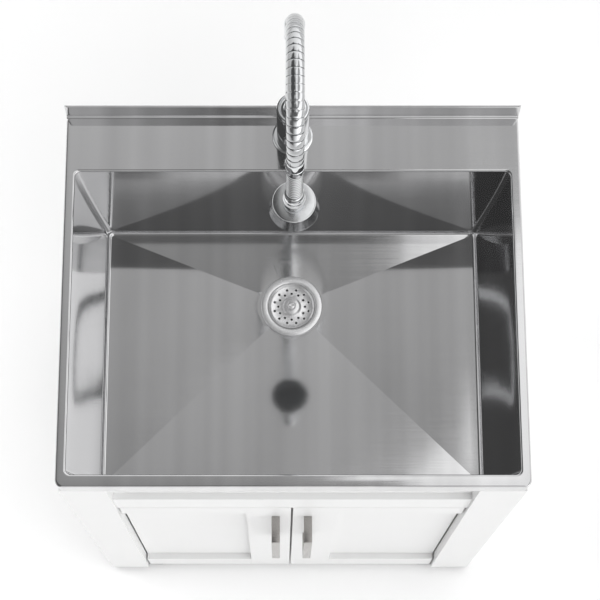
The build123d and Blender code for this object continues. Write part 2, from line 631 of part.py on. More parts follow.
# ---------------------------------------------------------------- lever
def lever_pieces():
    """Hub that turns on the cartridge for heat, and the pin lever that tilts in it for flow."""
    front = FAUCET_Y - BODY_R - BONNET_PROUD
    back = front - HUB_FACE_GAP
    pivot_y = back - HUB_LENGTH
    z = above(LEVER_Z)
    hub = rod_y(HUB_R, (pivot_y, back), 0, z) + Pos(0, pivot_y, z) * Sphere(HUB_R)
    stem_end = front + BONNET_T + HUB_STEM_R - HUB_FACE_GAP
    hub += rod_y(HUB_STEM_R, (pivot_y, stem_end), 0, z)
    slot_back = pivot_y + HUB_SLOT_W - 2 * HUB_FACE_GAP
    hub -= block((-HUB_SLOT_W / 2, HUB_SLOT_W / 2), (pivot_y - 2 * HUB_R, slot_back),
                 (z - HUB_SLOT_DEPTH / 2, z + 2 * HUB_R))
    hub -= rod_x(LEVER_PIN_R, (-HUB_R, HUB_R), pivot_y, z)
    pin = rod_x(LEVER_PIN_R, (-HUB_R + HUB_FACE_GAP, HUB_R - HUB_FACE_GAP), pivot_y, z)
    half_eye = HUB_SLOT_W / 2 - HUB_FACE_GAP
    eye = rod_x(LEVER_EYE_R, (-half_eye, half_eye), pivot_y, z)
    eye -= rod_x(LEVER_PIN_R + RUNNING, (-HUB_R, HUB_R), pivot_y, z)
    reach = rod(LEVER_R, 0, LEVER_LENGTH) - Sphere(LEVER_BLIND_R)
    tip = rod(LEVER_TIP_R, LEVER_LENGTH - LEVER_TIP_LENGTH, LEVER_LENGTH)
    tip = fillet(tip.edges().filter_by(GeomType.CIRCLE), LEVER_TIP_R / 4)
    arm = Pos(0, pivot_y, z) * Rot(90 - LEVER_REST_ANGLE, 0, 0) * (reach + tip)
    return {"lever_hub": hub, "lever_pin": pin, "lever_arm": eye + arm}


# ---------------------------------------------------------------- spray wand
def spray_pieces():
    """Ribbed grip, collar, bell head with its face and nozzles, and the hose that draws out."""
    top = above(ARC_CENTRE) - HUB_FACE_GAP
    bottom = above(GRIP_BOTTOM)
    profile = [(GRIP_BORE_R, bottom), (GRIP_R, bottom)]
    count = int((top - bottom) / RIB_PITCH)
    for index in range(count):
        low = bottom + index * RIB_PITCH
        profile += [(GRIP_R, low + RIB_PITCH / 2), (GRIP_R - RIB_DEPTH, low + RIB_PITCH * 3 / 4),
                    (GRIP_R, low + RIB_PITCH)]
    profile += [(GRIP_R, top), (GRIP_BORE_R, top)]
    grip = turned(profile, 0, SPOUT_Y)
    head_top = above(HEAD_TOP)
    collar = turned([(GRIP_BORE_R, head_top), (NECK_R, head_top),
                     (NECK_R, above(COLLAR_LARGE_BOTTOM) - COLLAR_STEP_H),
                     (COLLAR_LARGE_R, above(COLLAR_LARGE_BOTTOM)),
                     (COLLAR_LARGE_R, above(COLLAR_LARGE_BOTTOM) + 2 * COLLAR_STEP_H),
                     (NECK_R, above(COLLAR_SMALL_BOTTOM) - 2 * COLLAR_STEP_H),
                     (NECK_R - COLLAR_GROOVE, above(COLLAR_SMALL_BOTTOM)),
                     (COLLAR_SMALL_R, above(COLLAR_SMALL_BOTTOM) + COLLAR_GROOVE),
                     (COLLAR_SMALL_R, bottom - COLLAR_STEP_H), (GRIP_R, bottom),
                     (GRIP_BORE_R, bottom)], 0, SPOUT_Y)
    head_bottom = above(HEAD_BOTTOM)
    inner_top = HEAD_TOP_R - HEAD_WALL
    inner_bottom = HEAD_BOTTOM_R - HEAD_WALL
    shell = turned([(GRIP_BORE_R, head_top), (HEAD_TOP_R - HEAD_RIM, head_top),
                    (HEAD_TOP_R, head_top - HEAD_RIM), (HEAD_BOTTOM_R, head_bottom),
                    (inner_bottom, head_bottom), (inner_top, head_top - HEAD_WALL - HEAD_RIM),
                    (GRIP_BORE_R, head_top - HEAD_WALL - HEAD_RIM)], 0, SPOUT_Y)
    slope = (inner_bottom - inner_top) / (HEAD_TOP - HEAD_WALL - HEAD_RIM - HEAD_BOTTOM)
    face_low = head_bottom + FACE_RECESS
    face_high = face_low + FACE_T
    low_r = inner_bottom - slope * FACE_RECESS
    high_r = low_r - slope * FACE_T
    face = turned([(0, face_low), (low_r, face_low), (high_r, face_high), (0, face_high)], 0, SPOUT_Y)
    nozzles = []
    for ring_r, number in zip(NOZZLE_RING_RADII, NOZZLE_COUNTS):
        for index in range(number):
            angle = 2 * math.pi * index / number
            place = (ring_r * math.cos(angle), SPOUT_Y + ring_r * math.sin(angle))
            nozzles.append(rod(NOZZLE_R, face_low - NOZZLE_PROUD, face_low + FACE_T / 2, *place))
            face -= nozzles[-1]
    tail_top = above(ARC_CENTRE) + HOSE_TAIL - COLLAR_STEP_H
    pull_hose = pipe(HOSE_R, HOSE_BORE_R, bottom + RIB_PITCH, tail_top, 0, SPOUT_Y)
    return {"spray_grip": grip, "spray_collar": collar, "spray_head": shell, "spray_face": face,
            "spray_nozzles": together(nozzles), "pull_out_hose": pull_hose}


# ---------------------------------------------------------------- cabinet
HALF_CABINET = WIDTH / 2 - SIDE_GAP
POST_FRONT = Y_FRONT + CABINET_SETBACK
POST_BACK = POST_FRONT + POST_T
POST_INNER = HALF_CABINET - POST_W
SIDE_INNER = HALF_CABINET - SIDE_T
CABINET_BACK = Y_BACK - CABINET_SETBACK
FRAME_FRONT = POST_FRONT + FRAME_RECESS
DOOR_FRONT = FRAME_FRONT
DOOR_BACK = DOOR_FRONT + DOOR_T
PIVOT_X = POST_INNER - DOOR_SIDE_GAP - PIVOT_INSET_X
PIVOT_Y = DOOR_FRONT + PIVOT_INSET_Y
DOOR_TOP_Z = below(CROSS_RAIL_BOTTOM + DOOR_TOP_GAP)
DOOR_BOTTOM_Z = below(CABINET_BOTTOM - DOOR_BOTTOM_GAP)


def screw(x, y, z, axis, length=SCREW_LENGTH):
    """A flat-headed screw: its head stands on the surface at the point, its shank goes along axis."""
    head = Pos(0, 0, -SCREW_HEAD_T / 2) * Cylinder(SCREW_HEAD_R, SCREW_HEAD_T)
    shank = Pos(0, 0, length / 2) * Cylinder(SCREW_R, length)
    return Plane(origin=(x, y, z), z_dir=axis) * (head + shank)


def screw_hole(x, y, z, axis, length=SCREW_LENGTH):
    shank = Pos(0, 0, length / 2) * Cylinder(SCREW_R, length)
    return Plane(origin=(x, y, z), z_dir=axis) * shank


def right_bracket_screws():
    """Places of the screws of the right-hand hold-down bracket."""
    y = Y_BACK - BRACKET_INSET
    return [(SIDE_INNER - BRACKET_T, y, below(level), (1, 0, 0)) for level in BRACKET_SCREW_LEVELS]


def right_plate_screws():
    """Places of the screws of the right-hand pivot plates: one up into the rail, two into the post."""
    rail_x = POST_INNER - PLATE_X + SCREW_HEAD_R
    rail = (rail_x, PIVOT_Y, below(CROSS_RAIL_BOTTOM) - PLATE_T, (0, 0, 1))
    post_z = below(CABINET_BOTTOM) - PLATE_T
    return [rail] + [(POST_INNER + reach, PIVOT_Y, post_z, (0, 0, 1)) for reach in PLATE_SCREW_REACH]


def right_side_panel():
    panel = block((SIDE_INNER, HALF_CABINET), (POST_BACK, CABINET_BACK),
                  (below(CABINET_BOTTOM), below(CABINET_TOP)))
    for place in right_bracket_screws():
        panel -= screw_hole(*place)
    return panel


def right_post():
    post = block((POST_INNER, HALF_CABINET), (POST_FRONT, POST_BACK),
                 (below(CABINET_BOTTOM), below(CABINET_TOP)))
    for place in right_plate_screws()[1:]:
        post -= screw_hole(*place)
    return post


def front_frame():
    """The false drawer panel and the cross rail above the doors."""
    front = POST_FRONT + FALSE_PANEL_RECESS
    panel = block((-POST_INNER, POST_INNER), (front, front + FALSE_PANEL_T),
                  (below(CROSS_RAIL_TOP), below(CABINET_TOP)))
    rail = block((-POST_INNER, POST_INNER), (FRAME_FRONT, FRAME_FRONT + POST_T),
                 (below(CROSS_RAIL_BOTTOM), below(CROSS_RAIL_TOP)))
    hole = screw_hole(*right_plate_screws()[0])
    return {"false_panel": panel, "cross_rail": rail - hole - mirrored(hole)}


def cabinet_floor_pieces():
    """Floor board with cam locks, on two cleats."""
    front = DOOR_BACK + FLOOR_FRONT_GAP
    back = CABINET_BACK - BACK_T
    floor_low = below(FLOOR_TOP + FLOOR_T)
    floor = block((-SIDE_INNER, SIDE_INNER), (front, back), (floor_low, below(FLOOR_TOP)))
    cams = []
    for x in (-SIDE_INNER + CAM_INSET, SIDE_INNER - CAM_INSET):
        for y in (front + 2 * CAM_INSET, back - 2 * CAM_INSET):
            cams.append(rod(CAM_R, floor_low, floor_low + CAM_T, x, y))
            floor -= cams[-1]
    cleat_z = (floor_low - CLEAT, floor_low)
    right_cleat = block((SIDE_INNER - CLEAT, SIDE_INNER), (front, back), cleat_z)
    cleats = together([mirrored(right_cleat), right_cleat])
    return {"cabinet_floor": floor, "floor_cleats": cleats}, cams


def cabinet_back_pieces():
    """Hanging rail with two wall holes, and the thin back with its plumbing cut-out."""
    rail_bottom = CABINET_TOP + HANGING_RAIL_H
    rail = block((-SIDE_INNER, SIDE_INNER), (CABINET_BACK - HANGING_RAIL_T, CABINET_BACK),
                 (below(rail_bottom), below(CABINET_TOP)))
    level = below(CABINET_TOP + HANGING_RAIL_H / 2)
    through = (CABINET_BACK - 2 * HANGING_RAIL_T, CABINET_BACK + HANGING_RAIL_T)
    for x in (-HANGING_HOLE_SPACING / 2, HANGING_HOLE_SPACING / 2):
        rail -= rod_y(HANGING_HOLE_R, through, x, level)
    back = block((-SIDE_INNER, SIDE_INNER), (CABINET_BACK - BACK_T, CABINET_BACK),
                 (below(CABINET_BOTTOM), below(rail_bottom)))
    back -= block((-PLUMBING_W / 2, PLUMBING_W / 2), (CABINET_BACK - SIDE_T, CABINET_BACK + SIDE_T),
                  (below(PLUMBING_BOTTOM), below(PLUMBING_TOP)))
    return {"hanging_rail": rail, "back_panel": back}


def glides():
    """Four nailed-on glides: two under the posts and two under the side panels."""
    front = block((HALF_CABINET - GLIDE_INSET - GLIDE_X, HALF_CABINET - GLIDE_INSET),
                  (POST_BACK - GLIDE_INSET / 2 - GLIDE_Y, POST_BACK - GLIDE_INSET / 2), (0, GLIDE_H))
    middle_x = HALF_CABINET - SIDE_T / 2
    back = block((middle_x - BACK_GLIDE_X / 2, middle_x + BACK_GLIDE_X / 2),
                 (CABINET_BACK - GLIDE_INSET - BACK_GLIDE_Y, CABINET_BACK - GLIDE_INSET), (0, GLIDE_H))
    return together([front, back, mirrored(front), mirrored(back)])


def right_hold_down():
    """Angle bracket from the underside of the deck to the side panel, with its screws."""
    y = Y_BACK - BRACKET_INSET
    across = (y - BRACKET_Y / 2, y + BRACKET_Y / 2)
    top = below(SHEET)
    bracket = block((SIDE_INNER - BRACKET_LEG, SIDE_INNER), across, (top - BRACKET_T, top))
    bracket += block((SIDE_INNER - BRACKET_T, SIDE_INNER), across, (below(BRACKET_DROP), top))
    screws = [screw(*place) for place in right_bracket_screws()]
    for place in right_bracket_screws():
        bracket -= screw_hole(*place)
    return bracket, screws


# ---------------------------------------------------------------- doors
def right_pivots():
    """Top and bottom pivot plates, each with its pin, and their screws."""
    rail_screw, *post_screws = right_plate_screws()
    top_z = below(CROSS_RAIL_BOTTOM)
    across = (PIVOT_Y - PIVOT_INSET_Y, PIVOT_Y - PIVOT_INSET_Y + PLATE_Y)
    top = block((POST_INNER - PLATE_X, POST_INNER), across, (top_z - PLATE_T, top_z))
    top += rod(PIVOT_R, DOOR_TOP_Z - PIVOT_DEPTH + PIVOT_END_GAP, top_z - PLATE_T / 2, PIVOT_X, PIVOT_Y)
    low_z = below(CABINET_BOTTOM)
    # the lower plate reaches under the post, where it is screwed
    bottom = block((POST_INNER - PLATE_X, POST_INNER - PLATE_X + BOTTOM_PLATE_X), across,
                   (low_z - PLATE_T, low_z))
    pin_end = DOOR_BOTTOM_Z + PIVOT_DEPTH - PIVOT_END_GAP
    bottom += rod(PIVOT_R, low_z - PLATE_T / 2, pin_end, PIVOT_X, PIVOT_Y)
    top -= screw_hole(*rail_screw)
    for place in post_screws:
        bottom -= screw_hole(*place)
    return [top, bottom], [screw(*place) for place in right_plate_screws()]


def right_door():
    """One framed door: rails, inner stile, thin recessed panel, pivot bushes, strike and pull."""
    outer = POST_INNER - DOOR_SIDE_GAP
    inner = DOOR_CENTRE_GAP / 2
    stile_edge = inner + STILE_W
    thick = (DOOR_FRONT, DOOR_BACK)
    panel_front = DOOR_FRONT + PANEL_RECESS
    panel_y = (panel_front, panel_front + PANEL_T)
    stile = block((inner, stile_edge), thick, (DOOR_BOTTOM_Z, DOOR_TOP_Z))
    top_rail = block((stile_edge, outer), thick, (below(TOP_RAIL_BOTTOM), DOOR_TOP_Z))
    bottom_rail = block((stile_edge, outer), thick, (DOOR_BOTTOM_Z, below(BOTTOM_RAIL_TOP)))
    panel = block((stile_edge, outer), panel_y, (below(BOTTOM_RAIL_TOP), below(TOP_RAIL_BOTTOM)))
    bushes = []
    for low in (DOOR_TOP_Z - PIVOT_DEPTH, DOOR_BOTTOM_Z):
        high = low + PIVOT_DEPTH
        bushes.append(pipe(BUSH_R, PIVOT_R + RUNNING, low, high, PIVOT_X, PIVOT_Y))
        top_rail -= rod(BUSH_R, low, high, PIVOT_X, PIVOT_Y)
        bottom_rail -= rod(BUSH_R, low, high, PIVOT_X, PIVOT_Y)
    pull_x = (PULL_OFFSET - PULL_W / 2, PULL_OFFSET + PULL_W / 2)
    pull_front = Y_FRONT - HANDLE_REACH
    pull = block(pull_x, (pull_front, DOOR_FRONT), (below(PULL_TOP + PULL_LENGTH), below(PULL_TOP)))
    pull -= block((0, 2 * PULL_OFFSET), (pull_front + PULL_T, DOOR_BACK),
                  (below(PULL_TOP + PULL_LENGTH - PULL_T), below(PULL_TOP + PULL_T)))
    bends = pull.edges().filter_by(Axis.X).group_by(Axis.Y)[0]
    pull = fillet(bends, PULL_BEND_R)
    screws = []
    # one screw into the middle of each leg of the pull
    for level in (below(PULL_TOP + PULL_T / 2), below(PULL_TOP + PULL_LENGTH - PULL_T / 2)):
        place = (PULL_OFFSET, DOOR_BACK, level, (0, -1, 0))
        screws.append(screw(*place, length=DOOR_T + SCREW_LENGTH))
        stile -= screw_hole(*place, length=DOOR_T + SCREW_LENGTH)
        pull -= screw_hole(*place, length=DOOR_T + SCREW_LENGTH)
    strike_top = below(CROSS_RAIL_BOTTOM + DOOR_TOP_GAP + STRIKE_T)
    strike = block((inner + STRIKE_T, inner + STRIKE_T + STRIKE_X), (DOOR_BACK, DOOR_BACK + STRIKE_T),
                   (strike_top - STRIKE_Z, strike_top))
    return {"door_frame": together([stile, top_rail, bottom_rail]), "door_panel": panel,
            "door_hardware": together(bushes + screws + [strike]), "pull": pull}


def door_catch():
    """Double magnetic catch behind the cross rail, which holds both doors shut."""
    rail_back = FRAME_FRONT + POST_T
    magnet_front = DOOR_BACK + STRIKE_T + STRIKE_GAP
    wall_front = Y_FRONT + FRONT_RIM + FRONT_TAPER * CATCH_TOP / BOWL_DEPTH - SHEET
    magnet_back = wall_front - CATCH_GAP
    catch = block((-CATCH_X / 2, CATCH_X / 2), (rail_back, magnet_back),
                  (below(CROSS_RAIL_BOTTOM), below(CATCH_TOP)))
    return catch + block((-CATCH_X / 2, CATCH_X / 2), (magnet_front, magnet_back),
                         (below(CATCH_BOTTOM), below(CROSS_RAIL_BOTTOM)))


# ---------------------------------------------------------------- all the pieces
def build_sink():
    outer_form = bowl_form(SHEET, SHEET)
    write("sink_top", sink_top())
    write("bowl", bowl(outer_form))
    write("sound_pads", sound_pads(outer_form))
    write("deck_stiffener", deck_stiffener())
    write("strainer_body", strainer_body())
    for pieces in (drain_stack(), strainer_basket()):
        for name, shape in pieces.items():
            write(name, shape)


def build_faucet():
    write("faucet_body", faucet_body())
    groups = (faucet_base(), cartridge_pieces(), under_deck(), spout_pieces(), lever_pieces(),
              spray_pieces())
    for pieces in groups:
        for name, shape in pieces.items():
            write(name, shape)


def build_cabinet():
    side = right_side_panel()
    post = right_post()
    write("right_side_panel", side)
    write("left_side_panel", mirrored(side))
    write("right_post", post)
    write("left_post", mirrored(post))
    floor_pieces, cams = cabinet_floor_pieces()
    for pieces in (front_frame(), floor_pieces, cabinet_back_pieces()):
        for name, shape in pieces.items():
            write(name, shape)
    write("glides", glides())
    write("door_catch", door_catch())
    bracket, bracket_screws = right_hold_down()
    write("hold_down_brackets", together([bracket, mirrored(bracket)]))
    plates, plate_screws = right_pivots()
    write("pivot_plates", together(plates + [mirrored(plate) for plate in plates]))
    screws = bracket_screws + plate_screws
    write("cabinet_fasteners", together(cams + screws + [mirrored(one) for one in screws]))


def build_doors():
    for name, shape in right_door().items():
        write("right_" + name, shape)
        write("left_" + name, mirrored(shape))


os.makedirs("parts", exist_ok=True)
build_sink()
build_faucet()
build_cabinet()
build_doors()
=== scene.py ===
import json
import math

import bmesh
import bpy
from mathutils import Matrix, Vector


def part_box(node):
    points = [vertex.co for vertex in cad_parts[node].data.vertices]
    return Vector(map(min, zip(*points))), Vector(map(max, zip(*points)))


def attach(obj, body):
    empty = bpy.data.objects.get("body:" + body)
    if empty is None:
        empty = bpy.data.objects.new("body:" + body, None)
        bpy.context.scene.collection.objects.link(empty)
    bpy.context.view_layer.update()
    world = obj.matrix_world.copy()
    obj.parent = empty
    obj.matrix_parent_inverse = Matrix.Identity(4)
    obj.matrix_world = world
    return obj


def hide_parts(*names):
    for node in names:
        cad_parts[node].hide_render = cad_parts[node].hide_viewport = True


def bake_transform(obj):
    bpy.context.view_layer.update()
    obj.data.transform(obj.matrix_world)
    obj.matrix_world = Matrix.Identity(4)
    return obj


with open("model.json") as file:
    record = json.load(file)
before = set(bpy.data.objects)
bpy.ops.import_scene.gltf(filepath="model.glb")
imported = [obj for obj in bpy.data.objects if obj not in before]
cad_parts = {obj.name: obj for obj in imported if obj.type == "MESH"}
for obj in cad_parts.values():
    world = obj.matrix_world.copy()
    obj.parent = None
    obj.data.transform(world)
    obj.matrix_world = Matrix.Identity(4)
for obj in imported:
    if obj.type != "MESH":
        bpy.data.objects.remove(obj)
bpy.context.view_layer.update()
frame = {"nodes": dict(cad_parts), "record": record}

bl_info = {
    "name": "Utility Laundry Sink",
    "version": (1, 0, 0),
    "blender": (4, 5, 0),
    "location": "View3D > Sidebar > Laundry Sink",
    "description": "Models a steel utility sink on its cabinet, piece by piece, and its studio stage",
    "category": "Add Mesh",
}

TOP_LOW, TOP_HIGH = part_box("sink_top")
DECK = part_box("bowl")[1].z + 0.0012  # top face of the rim and deck
FAUCET_Y = sum(corner.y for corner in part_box("faucet_body")) / 2
WAND_Y = sum(corner.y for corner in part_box("spray_grip")) / 2
DRAIN_Y = sum(corner.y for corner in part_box("strainer_body")) / 2
ARC_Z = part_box("spray_grip")[1].z + 0.0003  # middle of the spout's arc
BOWL_FLOOR = DECK - 0.230  # edge of the bowl's floor


# ------------------------------------------------------------ sizes and colours
def length(name, description, default):
    return bpy.props.FloatProperty(name=name, description=description, default=default, min=0.0,
                                   precision=5, unit="LENGTH", subtype="DISTANCE")


def colour(name, description, default):
    return bpy.props.FloatVectorProperty(name=name, description=description, default=default, size=3,
                                         min=0.0, max=1.0, subtype="COLOR")


def share(name, description, default):
    return bpy.props.FloatProperty(name=name, description=description, default=default, min=0.0,
                                   max=1.0, subtype="FACTOR")


class SinkTopSizes(bpy.types.PropertyGroup):
    """Sizes of the folded sink top and the bowl."""

    sheet: length("Sheet", "Thickness of the stainless sheet", 0.0012)
    opening_bend: length("Opening Bend", "Radius of the bend from the rim into the bowl", 0.0028)
    rim_bend: length("Rim Bend", "Radius of the bend from the rim down to the apron", 0.0025)
    apron: length("Apron", "Height of the folded edge", 0.033)
    return_flange: length("Return Flange", "Depth of the inward fold under the apron", 0.012)
    opening_x: length("Opening Width", "Width of the bowl at the rim", 0.588)
    opening_y: length("Opening Length", "Length of the bowl at the rim, front to back", 0.4137)
    opening_corner: length("Opening Corner", "Corner radius of the opening", 0.008)
    front_rim: length("Front Rim", "Width of the rim in front of the bowl", 0.0168)
    splash_h: length("Backsplash Height", "Height of the backsplash above the deck", 0.034)
    splash_t: length("Backsplash Thickness", "Thickness of the backsplash's fold", 0.003)
    splash_cove: length("Backsplash Cove", "Radius of the bend from the deck to the backsplash", 0.003)
    splash_lean: length("Backsplash Ends", "How far the ends lean inwards at the top", 0.0037)
    side_taper: length("Side Taper", "How far each side wall leans in over its height", 0.0252)
    front_taper: length("Front Taper", "How far the front wall leans in over its height", 0.0252)
    back_taper: length("Back Taper", "How far the back wall leans in over its height", 0.0139)
    floor_bend: length("Floor Bend", "Radius of the bend between walls and floor", 0.0042)
    wall_bow: bpy.props.FloatProperty(name="Wall Bow", default=1.4, min=1.0, max=2.0,
                                      precision=3, subtype="FACTOR",
                                      description="How much the side and back walls' lean grows with depth")
    floor_fall: length("Floor Fall", "Fall from the floor's edge to the drain seat", 0.008)
    crease_fall: length("Crease Fall", "Fall of the four flat facets towards the drain's middle", 0.0092)
    dish: length("Dish", "Radius of the cone that is pressed around the drain", 0.096)
    dish_rise: length("Dish Rise", "Rise of that cone from the drain seat to its edge", 0.0078)
    seat: length("Drain Seat", "Radius of the recess around the drain", 0.047)
    drain_hole: length("Drain Hole", "Radius of the hole for the strainer", 0.0363)


class StrainerSizes(bpy.types.PropertyGroup):
    """Sizes of the basket strainer."""

    flange: length("Flange", "Outer radius of the flange", 0.045)
    cup: length("Cup", "Inner radius of the cup", 0.034)
    cup_wall: length("Cup Wall", "Thickness of the cup's wall", 0.002)
    cup_depth: length("Cup Depth", "Depth of the cup below its seat", 0.046)
    basket: length("Basket", "Radius of the perforated plate", 0.0336)
    boss: length("Boss", "Radius of the raised middle of the plate", 0.0135)
    knob: length("Knob", "Radius of the knob", 0.006)
    hole: length("Holes", "Radius of the small drain holes", 0.0017)


class FaucetSizes(bpy.types.PropertyGroup):
    """Sizes of the faucet's fixed column and its swivelling spout."""

    base: length("Base Ring", "Radius of the ring on the deck", 0.0275)
    column: length("Column", "Radius of the column", 0.0215)
    column_top: length("Column Height", "Top of the fixed column above the deck", 0.095)
    tube: length("Tube", "Radius of the riser and arc", 0.0105)
    tube_bore: length("Bore", "Inner radius of the riser and arc", 0.008)
    ferrule: length("Ferrule", "Radius of the ring where riser and arc meet", 0.0122)
    arc: length("Arc", "Radius of the arc's middle line", 0.087)
    dock: length("Dock", "Radius of the sleeve that the wand docks in", 0.0109)
    groove: length("Groove", "Width of the grooves in the jointed arc", 0.0009)
    groove_depth: length("Groove Depth", "Depth of the grooves in the jointed arc", 0.0013)


class WandSizes(bpy.types.PropertyGroup):
    """Sizes of the spray wand."""

    grip: length("Grip", "Radius of the ribbed grip", 0.0102)
    rib_pitch: length("Rib Pitch", "Distance from rib to rib", 0.0062)
    rib_depth: length("Rib Depth", "Depth between the ribs", 0.0017)
    neck: length("Neck", "Radius of the neck above the head", 0.0124)
    head_top: length("Head Top", "Radius of the bell head at its top", 0.02635)
    head_bottom: length("Head Bottom", "Radius of the bell head at its bottom", 0.0308)
    hose: length("Hose", "Radius of the hose that draws out", 0.006)


class CabinetSizes(bpy.types.PropertyGroup):
    """Small sizes of the cabinet and its pulls."""

    eased_edge: length("Eased Edge", "Radius of the boards' eased edges", 0.0008)
    pull_width: length("Pull Width", "Width of a pull's strap", 0.012)
    pull_strap: length("Pull Thickness", "Thickness of a pull's strap", 0.006)
    pull_edge: length("Pull Edge", "Radius of a pull's edges", 0.0007)


class FinishColours(bpy.types.PropertyGroup):
    """Colours and glosses of the finishes."""

    steel: colour("Steel", "Colour of the stainless sheet", (0.60, 0.60, 0.605))
    steel_gloss: share("Steel Roughness", "Roughness of the stainless sheet", 0.07)
    chrome: colour("Chrome", "Colour of the plated faucet", (0.74, 0.75, 0.76))
    nickel: colour("Nickel", "Colour of the door pulls", (0.40, 0.385, 0.37))
    paint: colour("Paint", "Colour of the painted cabinet", (0.76, 0.76, 0.758))
    rubber: colour("Rubber", "Colour of pads, washers and seals", (0.03, 0.03, 0.032))
    brass: colour("Brass", "Colour of the brass fittings", (0.66, 0.50, 0.25))
    plastic: colour("Plastic", "Colour of glides, catch and spray face", (0.17, 0.175, 0.18))
    zinc: colour("Zinc", "Colour of screws, plates and brackets", (0.60, 0.60, 0.61))
    hose: colour("Hose", "Colour of the braided hose", (0.09, 0.09, 0.095))
    floor: colour("Floor", "Colour of the studio floor", (0.97, 0.97, 0.97))


# ------------------------------------------------------------ modelling by hand, in steps
def clear_selection():
    """Leave edit mode with nothing selected."""
    active = bpy.context.view_layer.objects.active
    if active is not None and active.mode != "OBJECT":
        bpy.ops.object.mode_set(mode="OBJECT")
    bpy.ops.object.select_all(action="DESELECT")


def take(piece):
    """Make one piece the selected and active one."""
    clear_selection()
    bpy.context.view_layer.objects.active = piece
    piece.select_set(True)


def place_primitive():
    """Bake the new primitive's place into its mesh and open it for editing."""
    bpy.ops.object.transform_apply(location=True, rotation=True, scale=True)
    bpy.ops.object.mode_set(mode="EDIT")
    bpy.ops.mesh.select_mode(type="EDGE")
    bpy.ops.mesh.select_all(action="SELECT")


def pick(kind, test):
    """Select what passes a test by its middle and normal, and nothing else."""
    bpy.ops.mesh.select_mode(type=kind)
    bpy.ops.mesh.select_all(action="DESELECT")
    mesh = bmesh.from_edit_mesh(bpy.context.object.data)
    if kind == "VERT":
        for vert in mesh.verts:
            vert.select_set(test(vert.co, vert.normal))
    elif kind == "EDGE":
        for edge in mesh.edges:
            along = (edge.verts[1].co - edge.verts[0].co).normalized()
            edge.select_set(test((edge.verts[0].co + edge.verts[1].co) / 2, along))
    else:
        for face in mesh.faces:
            face.select_set(test(face.calc_center_median(), face.normal))
    mesh.select_flush_mode()
    bmesh.update_edit_mesh(bpy.context.object.data)


def next_ring(old, new):
    """Extrude the selected rim to its next ring. A ring is middle x, y, z, size along x and along y."""
    step = [new[axis] - old[axis] for axis in range(3)]
    bpy.ops.mesh.extrude_edges_move(TRANSFORM_OT_translate={"value": step})
    bpy.ops.transform.resize(value=(new[3] / old[3], new[4] / old[4], 1.0), center_override=new[:3])


def close_up(doubles=1e-6):
    """Merge the rings that meet, close the open ends and turn the faces outwards."""
    bpy.ops.mesh.select_all(action="SELECT")
    bpy.ops.mesh.remove_doubles(threshold=doubles)
    bpy.ops.mesh.fill_holes(sides=0)
    bpy.ops.mesh.select_all(action="SELECT")
    bpy.ops.mesh.normals_make_consistent(inside=False)
    bpy.ops.object.mode_set(mode="OBJECT")


def turned(profile, middle, segments=96):
    """A piece raised from a circle, ring by ring, along (radius, height) points."""
    clear_selection()
    radius, height = profile[0]
    bpy.ops.mesh.primitive_circle_add(vertices=segments, radius=radius,
                                      location=(middle[0], middle[1], height))
    piece = bpy.context.object
    place_primitive()
    old = (middle[0], middle[1], height, radius, radius)
    for radius, height in profile[1:]:
        new = (middle[0], middle[1], height, radius, radius)
        next_ring(old, new)
        old = new
    close_up()
    return piece


def arc_point(angle):
    """A point on the middle line of the spout's arc: 0 at the wand, 180 at the riser."""
    size = bpy.context.scene.sink_faucet
    turn = math.radians(angle)
    return Vector((0.0, FAUCET_Y - size.arc - size.arc * math.cos(turn),
                   ARC_Z + size.arc * math.sin(turn)))


def spun(profile, segments=64, step=2.0):
    """A piece spun along the spout's arc from a circle, along (radius, angle) points."""
    clear_selection()
    size = bpy.context.scene.sink_faucet
    radius, angle = profile[0]
    bpy.ops.mesh.primitive_circle_add(vertices=segments, radius=radius, location=arc_point(angle),
                                      rotation=(-math.radians(angle), 0.0, 0.0))
    piece = bpy.context.object
    place_primitive()
    middle = (0.0, FAUCET_Y - size.arc, ARC_Z)
    for new_radius, new_angle in profile[1:]:
        turn = new_angle - angle
        if abs(turn) > 1e-9:
            bpy.ops.mesh.spin(steps=max(1, math.ceil(abs(turn) / step)), angle=math.radians(turn),
                              center=middle, axis=(1.0, 0.0, 0.0))
        else:
            bpy.ops.mesh.extrude_edges_move(TRANSFORM_OT_translate={"value": (0.0, 0.0, 0.0)})
        ratio = new_radius / radius
        bpy.ops.transform.resize(value=(ratio, ratio, ratio), center_override=arc_point(new_angle))
        radius, angle = new_radius, new_angle
    close_up()
    return piece


def folded(profile, low_x, high_x):
    """A bar along X, folded from one straight edge through (y, z) points back to the first."""
    clear_selection()
    bpy.ops.mesh.primitive_plane_add(size=1.0)
    piece = bpy.context.object
    place_primitive()
    pick("VERT", lambda co, normal: co.y > 0.0)
    bpy.ops.mesh.delete(type="VERT")
    bpy.ops.mesh.select_mode(type="EDGE")
    bpy.ops.mesh.select_all(action="SELECT")
    bpy.ops.transform.resize(value=(high_x - low_x, 1.0, 1.0), center_override=(0.0, 0.0, 0.0))
    y, z = profile[0]
    bpy.ops.transform.translate(value=((low_x + high_x) / 2, y + 0.5, z))
    for new_y, new_z in profile[1:] + profile[:1]:
        bpy.ops.mesh.extrude_edges_move(TRANSFORM_OT_translate={"value": (0.0, new_y - y, new_z - z)})
        y, z = new_y, new_z
    close_up()
    return piece


def board(low, high):
    """A plain board between two corners, to be shaped further."""
    clear_selection()
    low, high = Vector(low), Vector(high)
    bpy.ops.mesh.primitive_cube_add(size=1.0, location=(low + high) / 2)
    piece = bpy.context.object
    piece.scale = high - low
    bpy.ops.object.transform_apply(location=True, rotation=True, scale=True)
    return piece


